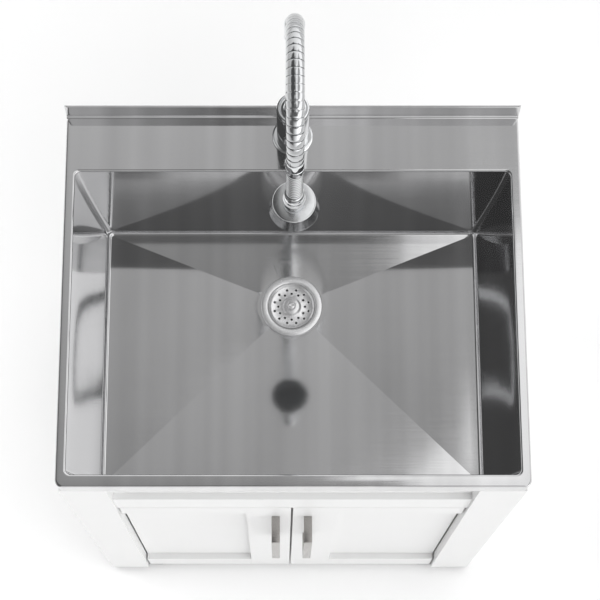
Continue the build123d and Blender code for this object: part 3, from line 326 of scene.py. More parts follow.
def apply_modifier(piece, kind, **settings):
    """Add one modifier, set it and apply it."""
    take(piece)
    modifier = piece.modifiers.new(kind.title(), kind)
    for name, value in settings.items():
        setattr(modifier, name, value)
    bpy.ops.object.modifier_apply(modifier=modifier.name)


def round_edges(piece, width, segments=3, angle=30.0):
    apply_modifier(piece, "BEVEL", width=width, segments=segments, limit_method="ANGLE",
                   angle_limit=math.radians(angle), harden_normals=False, miter_outer="MITER_ARC")


def cut(piece, *cutters):
    """Cut each cutter out of a piece and remove it."""
    for cutter in cutters:
        apply_modifier(piece, "BOOLEAN", operation="DIFFERENCE", solver="EXACT", object=cutter)
        bpy.data.objects.remove(cutter)


def joined(pieces):
    """Join several shells into the first one."""
    take(pieces[0])
    for piece in pieces[1:]:
        piece.select_set(True)
    bpy.ops.object.join()
    return bpy.context.object


def copied_node(node, belongs=None):
    """A copy of a CAD node's mesh, or of the solids in it that pass a test, merged and cleaned."""
    source = frame["nodes"][node]
    piece = bpy.data.objects.new(node + "_copy", source.data.copy())
    bpy.context.scene.collection.objects.link(piece)
    take(piece)
    bpy.ops.object.mode_set(mode="EDIT")
    if belongs is not None:
        pick("FACE", lambda co, normal: not belongs(co - normal * 0.0002))
        bpy.ops.mesh.delete(type="FACE")
    bpy.ops.mesh.select_all(action="SELECT")
    bpy.ops.mesh.customdata_custom_splitnormals_clear()
    bpy.ops.mesh.remove_doubles(threshold=2e-6)
    bpy.ops.mesh.dissolve_limited(angle_limit=math.radians(0.6))
    bpy.ops.object.mode_set(mode="OBJECT")
    return piece


def settle(piece, name, body, slot, nodes=(), finish=None, smooth=32.0, flat=False):
    """Name a finished piece, give it its finish and let it ride on its body."""
    take(piece)
    bpy.ops.object.transform_apply(location=True, rotation=True, scale=True)
    bpy.ops.object.shade_smooth_by_angle(angle=math.radians(smooth))
    if flat:
        apply_modifier(piece, "WEIGHTED_NORMAL", mode="FACE_AREA", weight=100, keep_sharp=True)
    piece.name = name
    piece.data.name = name
    piece.data.materials.clear()
    piece.data.materials.append(bpy.data.materials[finish or slot])
    if nodes:
        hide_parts(*nodes)
    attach(piece, body)
    clear_selection()
    return piece


# ------------------------------------------------------------ finishes
class Finish:
    """A node-based material with its shader, and short ways to add nodes to it."""

    def __init__(self, name, colour_value, metallic, roughness):
        plain = bpy.data.materials.get(name)
        if plain is not None:
            bpy.data.materials.remove(plain)
        self.material = bpy.data.materials.new(name)
        self.material.use_nodes = True
        self.tree = self.material.node_tree
        self.shader = self.tree.nodes["Principled BSDF"]
        self.shader.inputs["Base Color"].default_value = (*colour_value, 1.0)
        self.shader.inputs["Metallic"].default_value = metallic
        self.shader.inputs["Roughness"].default_value = roughness
        self.material.diffuse_color = (*colour_value, 1.0)

    def node(self, kind, **settings):
        made = self.tree.nodes.new(kind)
        for name, value in settings.items():
            setattr(made, name, value)
        return made

    def link(self, source, target):
        self.tree.links.new(source, target)

    def noise(self, scale, stretch=(1.0, 1.0, 1.0), detail=3.0, rough=0.5, turn=(0.0, 0.0, 0.0)):
        """Noise on the piece's own coordinates, stretched along its axes."""
        place = self.node("ShaderNodeTexCoord")
        mapping = self.node("ShaderNodeMapping")
        mapping.inputs["Scale"].default_value = stretch
        mapping.inputs["Rotation"].default_value = turn
        texture = self.node("ShaderNodeTexNoise")
        texture.inputs["Scale"].default_value = scale
        texture.inputs["Detail"].default_value = detail
        texture.inputs["Roughness"].default_value = rough
        self.link(place.outputs["Object"], mapping.inputs["Vector"])
        self.link(mapping.outputs["Vector"], texture.inputs["Vector"])
        return texture.outputs["Fac"]

    def ranged(self, source, low, high, source_low=0.3, source_high=0.7):
        """A value moved into a range of its own."""
        node = self.node("ShaderNodeMapRange")
        node.inputs["From Min"].default_value = source_low
        node.inputs["From Max"].default_value = source_high
        node.inputs["To Min"].default_value = low
        node.inputs["To Max"].default_value = high
        self.link(source, node.inputs["Value"])
        return node.outputs["Result"]

    def tinted(self, source, dark, light):
        """A colour between two, by a value."""
        node = self.node("ShaderNodeMix", data_type="RGBA")
        node.inputs["A"].default_value = (*dark, 1.0)
        node.inputs["B"].default_value = (*light, 1.0)
        for index, socket in enumerate(node.inputs):
            if socket.name == "Factor" and socket.type == "VALUE":
                self.link(source, socket)
                break
        self.link(node.outputs[2], self.shader.inputs["Base Color"])

    def facing_up(self):
        """How far the surface faces up or down: 0 on a wall, 1 on a floor."""
        place = self.node("ShaderNodeTexCoord")
        parts = self.node("ShaderNodeSeparateXYZ")
        self.link(place.outputs["Normal"], parts.inputs["Vector"])
        return self.math("ABSOLUTE", parts.outputs["Z"], 0.0)

    def blended(self, share_value, first, second):
        """The first value where the share is 0, the second where it is 1."""
        node = self.node("ShaderNodeMix", data_type="FLOAT")
        for socket, value in zip((node.inputs[0], node.inputs[2], node.inputs[3]),
                                 (share_value, first, second)):
            self.link(value, socket)
        return node.outputs[0]

    def math(self, operation, first, second):
        node = self.node("ShaderNodeMath", operation=operation)
        for socket, value in zip(node.inputs, (first, second)):
            if isinstance(value, (int, float)):
                socket.default_value = value
            else:
                self.link(value, socket)
        return node.outputs["Value"]

    def bump(self, source, strength, distance):
        node = self.node("ShaderNodeBump")
        node.inputs["Strength"].default_value = strength
        node.inputs["Distance"].default_value = distance
        self.link(source, node.inputs["Height"])
        self.link(node.outputs["Normal"], self.shader.inputs["Normal"])


def shaded(value, amount):
    """A colour made a little lighter or darker."""
    return tuple(min(1.0, part * amount) for part in value)


def sheet_finish(colours):
    """Fine-ground sheet: near a mirror, with grain, faint bands and cloudiness along it."""
    made = Finish("stainless_sheet", colours.steel, 1.0, colours.steel_gloss)
    level_grain = made.noise(1.0, (9.0, 1500.0, 9.0), detail=4.0, rough=0.6)
    upright_grain = made.noise(1.0, (9.0, 9.0, 700.0), detail=1.0)
    lines = made.blended(made.facing_up(), upright_grain, level_grain)
    bands = made.noise(1.0, (34.0, 0.5, 0.5), detail=1.0)
    clouds = made.noise(7.0, detail=2.0)
    mixed = made.math("ADD", made.math("MULTIPLY", bands, 0.75), made.math("MULTIPLY", clouds, 0.25))
    made.tinted(made.ranged(mixed, 0.0, 1.0, 0.35, 0.65),
                shaded(colours.steel, 0.93), shaded(colours.steel, 1.06))
    gloss = made.ranged(lines, colours.steel_gloss - 0.02, colours.steel_gloss + 0.03)
    haze = made.ranged(clouds, -0.012, 0.012)
    made.link(made.math("ADD", gloss, haze), made.shader.inputs["Roughness"])
    made.bump(made.math("MULTIPLY", lines, made.facing_up()), 0.006, 0.0001)
    made.shader.inputs["Anisotropic"].default_value = 0.25


def turned_steel_finish(colours):
    """The strainer's turned steel: lighter and softer than the sheet."""
    made = Finish("stainless_turned", shaded(colours.steel, 1.45), 0.65, 0.26)
    marks = made.noise(1100.0, detail=3.0)
    made.tinted(made.noise(40.0), shaded(colours.steel, 1.4), shaded(colours.steel, 1.5))
    made.link(made.ranged(marks, 0.19, 0.28), made.shader.inputs["Roughness"])


def chrome_finish(colours):
    """Plating: a clear mirror with faint water marks."""
    made = Finish("polished_chrome", colours.chrome, 1.0, 0.04)
    marks = made.noise(60.0, detail=3.0)
    made.link(made.ranged(marks, 0.03, 0.075), made.shader.inputs["Roughness"])
    made.tinted(made.noise(18.0), shaded(colours.chrome, 0.96), shaded(colours.chrome, 1.03))


def soft_chrome_finish(colours):
    """The jointed arc and ribbed grip: darker plating with a slightly softer mirror."""
    made = Finish("soft_chrome", shaded(colours.chrome, 0.8), 1.0, 0.14)
    marks = made.noise(90.0, detail=3.0)
    made.link(made.ranged(marks, 0.11, 0.18), made.shader.inputs["Roughness"])
    made.tinted(made.noise(18.0), shaded(colours.chrome, 0.77), shaded(colours.chrome, 0.83))


def satin_head_finish(colours):
    """The wand's head: satin plating, flatter than the chrome."""
    made = Finish("satin_chrome", shaded(colours.chrome, 0.8), 1.0, 0.16)
    marks = made.noise(220.0, detail=2.0)
    made.link(made.ranged(marks, 0.14, 0.2), made.shader.inputs["Roughness"])
    made.tinted(made.noise(25.0), shaded(colours.chrome, 0.77), shaded(colours.chrome, 0.83))


def nickel_finish(colours):
    """Pulls: nickel brushed lengthwise."""
    made = Finish("brushed_nickel", colours.nickel, 1.0, 0.28)
    lines = made.noise(1.0, (2600.0, 2600.0, 30.0), detail=3.0)
    made.tinted(lines, shaded(colours.nickel, 0.88), shaded(colours.nickel, 1.08))
    made.link(made.ranged(lines, 0.24, 0.36), made.shader.inputs["Roughness"])
    made.bump(lines, 0.15, 0.00008)


def paint_finish(colours):
    """Sprayed satin paint on board, with fine orange peel and a faint unevenness."""
    made = Finish("white_paint", colours.paint, 0.0, 0.42)
    peel = made.noise(900.0, detail=2.0)
    tone = made.noise(9.0, detail=3.0)
    made.tinted(tone, shaded(colours.paint, 0.985), shaded(colours.paint, 1.01))
    made.link(made.ranged(tone, 0.38, 0.46), made.shader.inputs["Roughness"])
    made.bump(peel, 0.12, 0.0002)


def rubber_finish(colours):
    made = Finish("black_rubber", colours.rubber, 0.0, 0.75)
    grain = made.noise(700.0, detail=4.0)
    made.tinted(made.noise(30.0), shaded(colours.rubber, 0.8), shaded(colours.rubber, 1.5))
    made.link(made.ranged(grain, 0.68, 0.86), made.shader.inputs["Roughness"])
    made.bump(grain, 0.3, 0.0002)


def brass_finish(colours):
    made = Finish("brass", colours.brass, 1.0, 0.3)
    rings = made.noise(1.0, (60.0, 60.0, 3000.0), detail=2.0)
    made.tinted(made.noise(40.0), shaded(colours.brass, 0.85), shaded(colours.brass, 1.06))
    made.link(made.ranged(rings, 0.24, 0.38), made.shader.inputs["Roughness"])
    made.bump(rings, 0.15, 0.0001)


def plastic_finish(colours):
    made = Finish("grey_plastic", colours.plastic, 0.0, 0.5)
    grain = made.noise(1200.0, detail=3.0)
    made.tinted(made.noise(20.0), shaded(colours.plastic, 0.92), shaded(colours.plastic, 1.08))
    made.link(made.ranged(grain, 0.46, 0.58), made.shader.inputs["Roughness"])
    made.bump(grain, 0.2, 0.0001)


def zinc_finish(colours):
    made = Finish("zinc_steel", colours.zinc, 1.0, 0.35)
    bloom = made.noise(140.0, detail=5.0)
    made.tinted(bloom, shaded(colours.zinc, 0.85), shaded(colours.zinc, 1.08))
    made.link(made.ranged(bloom, 0.28, 0.45), made.shader.inputs["Roughness"])


def hose_finish(colours):
    """Braided nylon: two sets of slanting threads."""
    made = Finish("nylon_hose", colours.hose, 0.0, 0.55)
    place = made.node("ShaderNodeTexCoord")
    heights = []
    for slant in (38.0, -38.0):
        mapping = made.node("ShaderNodeMapping")
        mapping.inputs["Rotation"].default_value = (math.radians(slant), math.radians(slant), 0.0)
        threads = made.node("ShaderNodeTexWave", bands_direction="Z")
        threads.inputs["Scale"].default_value = 220.0
        made.link(place.outputs["Object"], mapping.inputs["Vector"])
        made.link(mapping.outputs["Vector"], threads.inputs["Vector"])
        heights.append(threads.outputs["Fac"])
    weave = made.math("MAXIMUM", *heights)
    made.tinted(weave, shaded(colours.hose, 0.5), shaded(colours.hose, 2.2))
    made.bump(weave, 0.5, 0.0004)


def floor_finish(colours):
    made = Finish("studio_floor", colours.floor, 0.0, 0.9)
    tone = made.noise(1.5, detail=2.0)
    made.tinted(tone, shaded(colours.floor, 0.995), shaded(colours.floor, 1.005))


# ------------------------------------------------------------ operators
class PieceOperator:
    """What every operator here has in common."""

    bl_options = {"REGISTER", "UNDO"}

    def execute(self, context):
        self.make(context.scene)
        return {"FINISHED"}


class SINK_OT_finishes(PieceOperator, bpy.types.Operator):
    """Make the node materials and give every CAD node the finish of its slot"""

    bl_idname = "laundry_sink.finishes"
    bl_label = "Finishes"

    def make(self, scene):
        colours = scene.sink_colours
        for finish in (sheet_finish, turned_steel_finish, chrome_finish, soft_chrome_finish, satin_head_finish, nickel_finish, paint_finish,
                       rubber_finish, brass_finish, plastic_finish, zinc_finish, hose_finish, floor_finish):
            finish(colours)
        for subpart in frame["record"]["subparts"]:
            node = frame["nodes"][subpart["node"]]
            node.data.materials.clear()
            node.data.materials.append(bpy.data.materials[subpart["material_slot"]])


def rounded_opening(size, height):
    """A rounded rectangle at the bowl's opening, ready to be extruded. Returns its ring."""
    clear_selection()
    middle_y = TOP_LOW.y + size.front_rim + size.opening_y / 2
    bpy.ops.mesh.primitive_plane_add(size=1.0, location=(0.0, middle_y, height))
    piece = bpy.context.object
    piece.scale = (size.opening_x, size.opening_y, 1.0)
    place_primitive()
    bpy.ops.mesh.bevel(offset=size.opening_corner, offset_type="OFFSET", segments=10,
                       affect="VERTICES", clamp_overlap=False)
    bpy.ops.mesh.select_mode(type="EDGE")
    bpy.ops.mesh.select_all(action="SELECT")
    bpy.ops.mesh.delete(type="ONLY_FACE")
    bpy.ops.mesh.select_all(action="SELECT")
    return piece, (0.0, middle_y, height, size.opening_x, size.opening_y)


def sheet_wall(piece, thickness, offset):
    """Give a folded surface the thickness of its sheet."""
    apply_modifier(piece, "SOLIDIFY", thickness=thickness, offset=offset, use_even_offset=True)


def bend(start, inset_sign, drop_sign, radius, turn_from, steps=5):
    """Ring offsets of a quarter bend, as (inset, drop) pairs."""
    for step in range(1, steps + 1):
        angle = math.radians(90.0 * step / steps)
        if turn_from == "wall":
            yield (start[0] + inset_sign * radius * (1.0 - math.cos(angle)),
                   start[1] + drop_sign * radius * math.sin(angle))
        else:
            yield (start[0] + inset_sign * radius * math.sin(angle),
                   start[1] + drop_sign * radius * (1.0 - math.cos(angle)))


class SINK_OT_sink_top(PieceOperator, bpy.types.Operator):
    """Fold the sink top: rim, deck, aprons and return flanges, and the backsplash"""

    bl_idname = "laundry_sink.sink_top"
    bl_label = "Sink Top"

    def make(self, scene):
        size = scene.sink_top
        half_x = size.opening_x / 2
        front = TOP_LOW.y + size.front_rim
        back = front + size.opening_y

        def opening_ring(out, height):
            return (0.0, (front + back) / 2, height, 2 * (half_x + out), back - front + 2 * out)

        def edge_ring(inset, height):
            width = TOP_HIGH.x - TOP_LOW.x - 2 * inset
            depth = TOP_HIGH.y - TOP_LOW.y - 2 * inset
            return (0.0, (TOP_LOW.y + TOP_HIGH.y) / 2, height, width, depth)

        piece, old = rounded_opening(size, DECK - size.opening_bend)
        rings = [opening_ring(out, DECK - size.opening_bend + rise)
                 for out, rise in bend((0.0, 0.0), 1.0, 1.0, size.opening_bend, "wall")]
        rings.append(edge_ring(size.rim_bend, DECK))
        rings += [edge_ring(size.rim_bend - out, DECK - drop)
                  for out, drop in bend((0.0, 0.0), 1.0, 1.0, size.rim_bend, "face")]
        low = DECK - size.apron
        rings.append(edge_ring(0.0, low + size.rim_bend / 2))
        rings += [edge_ring(inset, low + size.rim_bend / 2 - drop)
                  for inset, drop in bend((0.0, 0.0), 1.0, 1.0, size.rim_bend / 2, "wall", 3)]
        rings.append(edge_ring(size.return_flange, low))
        for new in rings:
            next_ring(old, new)
            old = new
        bpy.ops.mesh.select_all(action="SELECT")
        bpy.ops.mesh.normals_make_consistent(inside=False)
        bpy.ops.object.mode_set(mode="OBJECT")
        up = max(piece.data.polygons, key=lambda face: face.area)
        if up.normal.z < 0.0:
            piece.data.flip_normals()
        sheet_wall(piece, size.sheet, -1.0)
        hole = turned([(0.0175, DECK - 0.01), (0.0175, DECK + 0.01)], (0.0, FAUCET_Y))
        cut(piece, hole)
        top = joined([piece, self.backsplash(size)])
        settle(top, "sink_top_sheet", "cabinet", "stainless_sheet", ["sink_top"], flat=True)

    def backsplash(self, size):
        """The upstand along the wall, with its cove and its leaning end facets."""
        face = TOP_HIGH.y - size.splash_t
        cove = size.splash_cove
        profile = [(face - cove, DECK)]
        for step in range(1, 7):
            angle = math.radians(15.0 * step)
            profile.append((face - cove + cove * math.sin(angle), DECK + cove * (1.0 - math.cos(angle))))
        profile += [(face, DECK + size.splash_h), (TOP_HIGH.y, DECK + size.splash_h),
                    (TOP_HIGH.y, DECK - 0.0005), (face - cove, DECK - 0.0005)]
        splash = folded(profile, TOP_LOW.x, TOP_HIGH.x)
        bpy.ops.object.mode_set(mode="EDIT")
        for side in (-1.0, 1.0):
            pick("VERT", lambda co, normal: co.z > DECK + size.splash_h / 2 and co.y < face + 1e-4
                 and co.x * side > 0.0)
            bpy.ops.transform.translate(value=(-side * size.splash_lean, 0.0, 0.0))
        bpy.ops.mesh.select_all(action="SELECT")
        bpy.ops.mesh.quads_convert_to_tris()
        bpy.ops.object.mode_set(mode="OBJECT")
        round_edges(splash, 0.0007, 2, 20.0)
        return splash


class SINK_OT_bowl(PieceOperator, bpy.types.Operator):
    """Draw the bowl: leaning walls, the bend, and the creased floor with its drain seat"""

    bl_idname = "laundry_sink.bowl"
    bl_label = "Bowl"

    def make(self, scene):
        size = scene.sink_top
        front = TOP_LOW.y + size.front_rim
        back = front + size.opening_y
        wall_depth = DECK - BOWL_FLOOR
        lip = size.opening_bend

        def bowl_ring(depth, inset):
            depth_in_wall = min(depth, wall_depth)
            straight = (depth_in_wall - lip) / (wall_depth - lip)
            bowed = (depth_in_wall / wall_depth) ** size.wall_bow
            half_x = size.opening_x / 2 - size.side_taper * bowed - inset
            low = front + size.front_taper * straight + inset
            high = back - size.back_taper * bowed - inset
            return (0.0, (low + high) / 2, DECK - depth, 2 * half_x, high - low)

        piece, old = rounded_opening(size, DECK - lip)
        wall_end = wall_depth - size.floor_bend
        rings = [bowl_ring(lip + (wall_end - lip) * step / 12, 0.0) for step in range(1, 13)]
        rings += [bowl_ring(depth, inset) for inset, depth in
                  bend((0.0, wall_end), 1.0, 1.0, size.floor_bend, "wall", 7)]
        for new in rings:
            next_ring(old, new)
            old = new
        self.square_corners(size, old)
        middle_ring = BOWL_FLOOR - size.crease_fall * 0.98
        bpy.ops.mesh.extrude_edges_move(
            TRANSFORM_OT_translate={"value": (0.0, 0.0, middle_ring - BOWL_FLOOR + size.crease_fall * 0.04)})
        bpy.ops.transform.resize(value=(0.02 / 0.96, 0.02 / 0.96, 1.0),
                                 center_override=(0.0, DRAIN_Y, middle_ring))
        bpy.ops.mesh.edge_face_add()
        bpy.ops.mesh.select_all(action="SELECT")
        bpy.ops.mesh.normals_make_consistent(inside=True)
        bpy.ops.object.mode_set(mode="OBJECT")
        floor = min(piece.data.polygons, key=lambda face: face.center.z)
        if floor.normal.z < 0.0:
            piece.data.flip_normals()
        below = self.below_floor(piece)
        sheet_wall(piece, size.sheet, -1.0)
        seat_z = BOWL_FLOOR - size.floor_fall
        pressed = turned(self.dish(size, size.sheet), (0.0, DRAIN_Y), 192)
        apply_modifier(pressed, "BOOLEAN", operation="INTERSECT", solver="EXACT", object=below)
        bpy.data.objects.remove(below)
        apply_modifier(piece, "BOOLEAN", operation="UNION", solver="EXACT", object=pressed)
        bpy.data.objects.remove(pressed)
        recess = turned(self.dish(size, 0.0), (0.0, DRAIN_Y), 192)
        hole = turned([(size.drain_hole, seat_z - 0.01), (size.drain_hole, BOWL_FLOOR)], (0.0, DRAIN_Y))
        cut(piece, recess, hole)
        self.crease(piece, size)
        self.pads(size)
        settle(piece, "bowl_shell", "cabinet", "stainless_sheet", ["bowl"], flat=True)

    def square_corners(self, size, ring):
        """Draw the floor in to a ring with square corners, so that its creases end crisp."""
        drop = size.crease_fall * 0.04
        bpy.ops.mesh.extrude_edges_move(TRANSFORM_OT_translate={"value": (0.0, 0.0, -drop)})
        bpy.ops.transform.resize(value=(0.96, 0.96, 1.0),
                                 center_override=(0.0, DRAIN_Y, BOWL_FLOOR - drop))
        for side_x in (-1.0, 1.0):
            for side_y in (-1.0, 1.0):
                pick("VERT", lambda co, normal: co.z < BOWL_FLOOR - drop / 2
                     and co.x * side_x > 0.0 and (co.y - ring[1]) * side_y > 0.0)
                bpy.ops.mesh.merge(type="CENTER")
                mesh = bmesh.from_edit_mesh(bpy.context.object.data)
                merged = next(vert for vert in mesh.verts if vert.select)
                corner = Vector((side_x * ring[3] / 2 * 0.96,
                                 DRAIN_Y + (ring[1] + side_y * ring[4] / 2 - DRAIN_Y) * 0.96,
                                 BOWL_FLOOR - drop))
                bpy.ops.transform.translate(value=corner - merged.co)
        pick("EDGE", lambda co, along: co.z < BOWL_FLOOR - drop * 0.9)

    def below_floor(self, piece):
        """A block whose top follows the floor's four facets."""
        block = piece.copy()
        block.data = piece.data.copy()
        bpy.context.scene.collection.objects.link(block)
        take(block)
        bpy.ops.object.mode_set(mode="EDIT")
        pick("FACE", lambda co, normal: co.z > BOWL_FLOOR - 1e-5)
        bpy.ops.mesh.delete(type="FACE")
        bpy.ops.object.mode_set(mode="OBJECT")
        sheet_wall(block, 0.03, -1.0)
        return block

    def dish(self, size, drop):
        """Profile of the pressed cone, from its flat seat up past the floor, lowered by the sheet."""
        low = BOWL_FLOOR - size.floor_fall - drop
        points = [(size.seat, low), (size.dish, low + size.dish_rise)]
        points.append((size.dish + 0.010, BOWL_FLOOR + 0.01 if not drop else BOWL_FLOOR - drop))
        return points

    def pads(self, size):
        """Set the rubber pads against the outside of the bowed side and back walls."""
        low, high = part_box("sound_pads")
        pads = copied_node("sound_pads")
        bpy.ops.object.mode_set(mode="EDIT")
        half_x = (high.x - low.x) / 2
        lag = (0.4 ** 1.0 - 0.4 ** size.wall_bow) * 1.02
        for shift, test in (
            ((-size.side_taper * lag, 0.0, 0.0), lambda co, normal: co.x < -half_x * 0.8),
            ((size.side_taper * lag, 0.0, 0.0), lambda co, normal: co.x > half_x * 0.8),
            ((0.0, size.back_taper * lag, 0.0), lambda co, normal: abs(co.x) < half_x * 0.8 and co.y > 0.0),
        ):
            pick("VERT", test)
            bpy.ops.transform.translate(value=shift)
        bpy.ops.object.mode_set(mode="OBJECT")
        settle(pads, "wall_pads", "cabinet", "black_rubber", ["sound_pads"])

    def crease(self, piece, size):
        """Keep the four pressed creases of the floor crisp."""
        take(piece)
        bpy.ops.object.mode_set(mode="EDIT")
        bpy.ops.mesh.select_all(action="SELECT")
        bpy.ops.mesh.remove_doubles(threshold=2e-6)
        pick("EDGE", lambda co, along: BOWL_FLOOR - size.floor_fall < co.z < BOWL_FLOOR + 0.001
             and abs(along.x) > 0.2 and abs(along.y) > 0.2
             and math.hypot(co.x, co.y - DRAIN_Y) > size.dish + 0.006)
        bpy.ops.mesh.mark_sharp()
        bpy.ops.object.mode_set(mode="OBJECT")


class SINK_OT_strainer(PieceOperator, bpy.types.Operator):
    """Turn the strainer's flanged cup, its perforated plate and its slotted knob"""

    bl_idname = "laundry_sink.strainer"
    bl_label = "Strainer"

    def make(self, scene):
        size = scene.sink_strainer
        middle = (0.0, DRAIN_Y)
        seat = BOWL_FLOOR - scene.sink_top.floor_fall
        bottom = seat - size.cup_depth
        outer = size.cup + size.cup_wall
        profile = [
            (outer, seat), (size.flange, seat), (size.flange, seat + 0.0012),
            (size.flange - 0.0005, seat + 0.0020), (size.flange - 0.0015, seat + 0.0024),
            (size.cup + 0.0030, seat + 0.0023), (size.cup + 0.0014, seat + 0.0021),
            (size.cup + 0.0004, seat + 0.0014), (size.cup, seat + 0.0002),
            (size.cup, bottom + 0.006), (size.cup - 0.003, bottom + 0.002),
            (0.016, bottom), (0.016, bottom - 0.015), (0.019, bottom - 0.015),
            (0.019, bottom - size.cup_wall), (outer - 0.004, bottom - 0.001), (outer, bottom + 0.005),
            (outer, seat),
        ]
        cup = turned(profile, middle, 128)
        settle(cup, "strainer_cup", "cabinet", "stainless_sheet", ["strainer_body"],
               finish="stainless_turned", smooth=40.0)

        rim = seat + 0.00125
        dish = rim - 0.003
        plate = turned([
            (0.0035, dish + 0.0026), (size.boss - 0.0032, dish + 0.0026), (size.boss - 0.0018, dish + 0.0021),
            (size.boss - 0.0003, dish + 0.0004), (size.boss + 0.001, dish), (0.0295, dish),
            (0.0312, dish + 0.0007), (size.basket - 0.0008, rim - 0.0002), (size.basket, rim),
            (size.basket, rim - 0.0012), (0.0305, dish - 0.0009), (0.0295, dish - 0.0012),
            (0.0035, dish - 0.0012), (0.0035, dish + 0.0026)], middle, 128)
        for ring_radius, offset in ((0.0195, 0.0), (0.0255, 0.5)):
            for index in range(12):
                angle = math.radians((index + offset) * 30.0)
                place = (ring_radius * math.sin(angle), DRAIN_Y + ring_radius * math.cos(angle))
                cut(plate, turned([(size.hole, dish - 0.004), (size.hole, dish + 0.004)], place, 20))
        settle(plate, "basket_disc", "strainer", "stainless_sheet", ["basket_plate"],
               finish="stainless_turned", smooth=40.0)

        top = dish + 0.009
        knob = turned([
            (0.003, dish - 0.022), (0.003, dish + 0.0026), (size.knob - 0.0012, dish + 0.0027),
            (size.knob - 0.0003, dish + 0.0034), (size.knob, dish + 0.0045), (size.knob, top - 0.0022),
            (size.knob - 0.0005, top - 0.0009), (size.knob - 0.0016, top - 0.0001), (0.002, top)],
            middle, 64)
        slot = board((-0.0039, DRAIN_Y - 0.0012, top - 0.0012), (0.0039, DRAIN_Y + 0.0012, top + 0.002))
        round_edges(slot, 0.0003, 2)
        cut(knob, slot)
        settle(knob, "basket_knob_turned", "strainer", "stainless_sheet", ["basket_knob"],
               finish="stainless_turned", smooth=40.0)


class SINK_OT_faucet_column(PieceOperator, bpy.types.Operator):
    """Turn the faucet's base ring, column and bonnet"""

    bl_idname = "laundry_sink.faucet_column"
    bl_label = "Faucet Column"

    def make(self, scene):
        size = scene.sink_faucet
        middle = (0.0, FAUCET_Y)
        base = turned([(0.014, DECK + 0.001), (size.base, DECK + 0.001), (size.base, DECK + 0.0022),
                       (size.base - 0.0018, DECK + 0.004), (0.014, DECK + 0.004), (0.014, DECK + 0.001)],
                      middle, 128)
        round_edges(base, 0.0005)
        settle(base, "base_ring", "cabinet", "polished_chrome", ["faucet_base_ring"])
        bore = size.tube + 0.00005
        column = turned([(size.column, DECK + 0.004), (size.column, DECK + size.column_top),
                         (bore, DECK + size.column_top), (bore, DECK + 0.062), (0.008, DECK + 0.062),
                         (0.008, DECK + 0.042)], middle, 128)
        round_edges(column, 0.0006)
        socket = turned([(0.012, -0.018), (0.012, 0.030)], (0.0, 0.0), 64)
        take(socket)
        socket.rotation_euler = (math.radians(90.0), 0.0, 0.0)
        socket.location = (0.0, FAUCET_Y - size.column, DECK + 0.042)
        bpy.ops.object.transform_apply(location=True, rotation=True, scale=True)
        cut(column, socket)
        settle(column, "faucet_column", "cabinet", "polished_chrome", ["faucet_body"])
        bonnet = copied_node("cartridge_bonnet")
        round_edges(bonnet, 0.0005, 2)
        settle(bonnet, "bonnet_ring", "cabinet", "polished_chrome", ["cartridge_bonnet"])


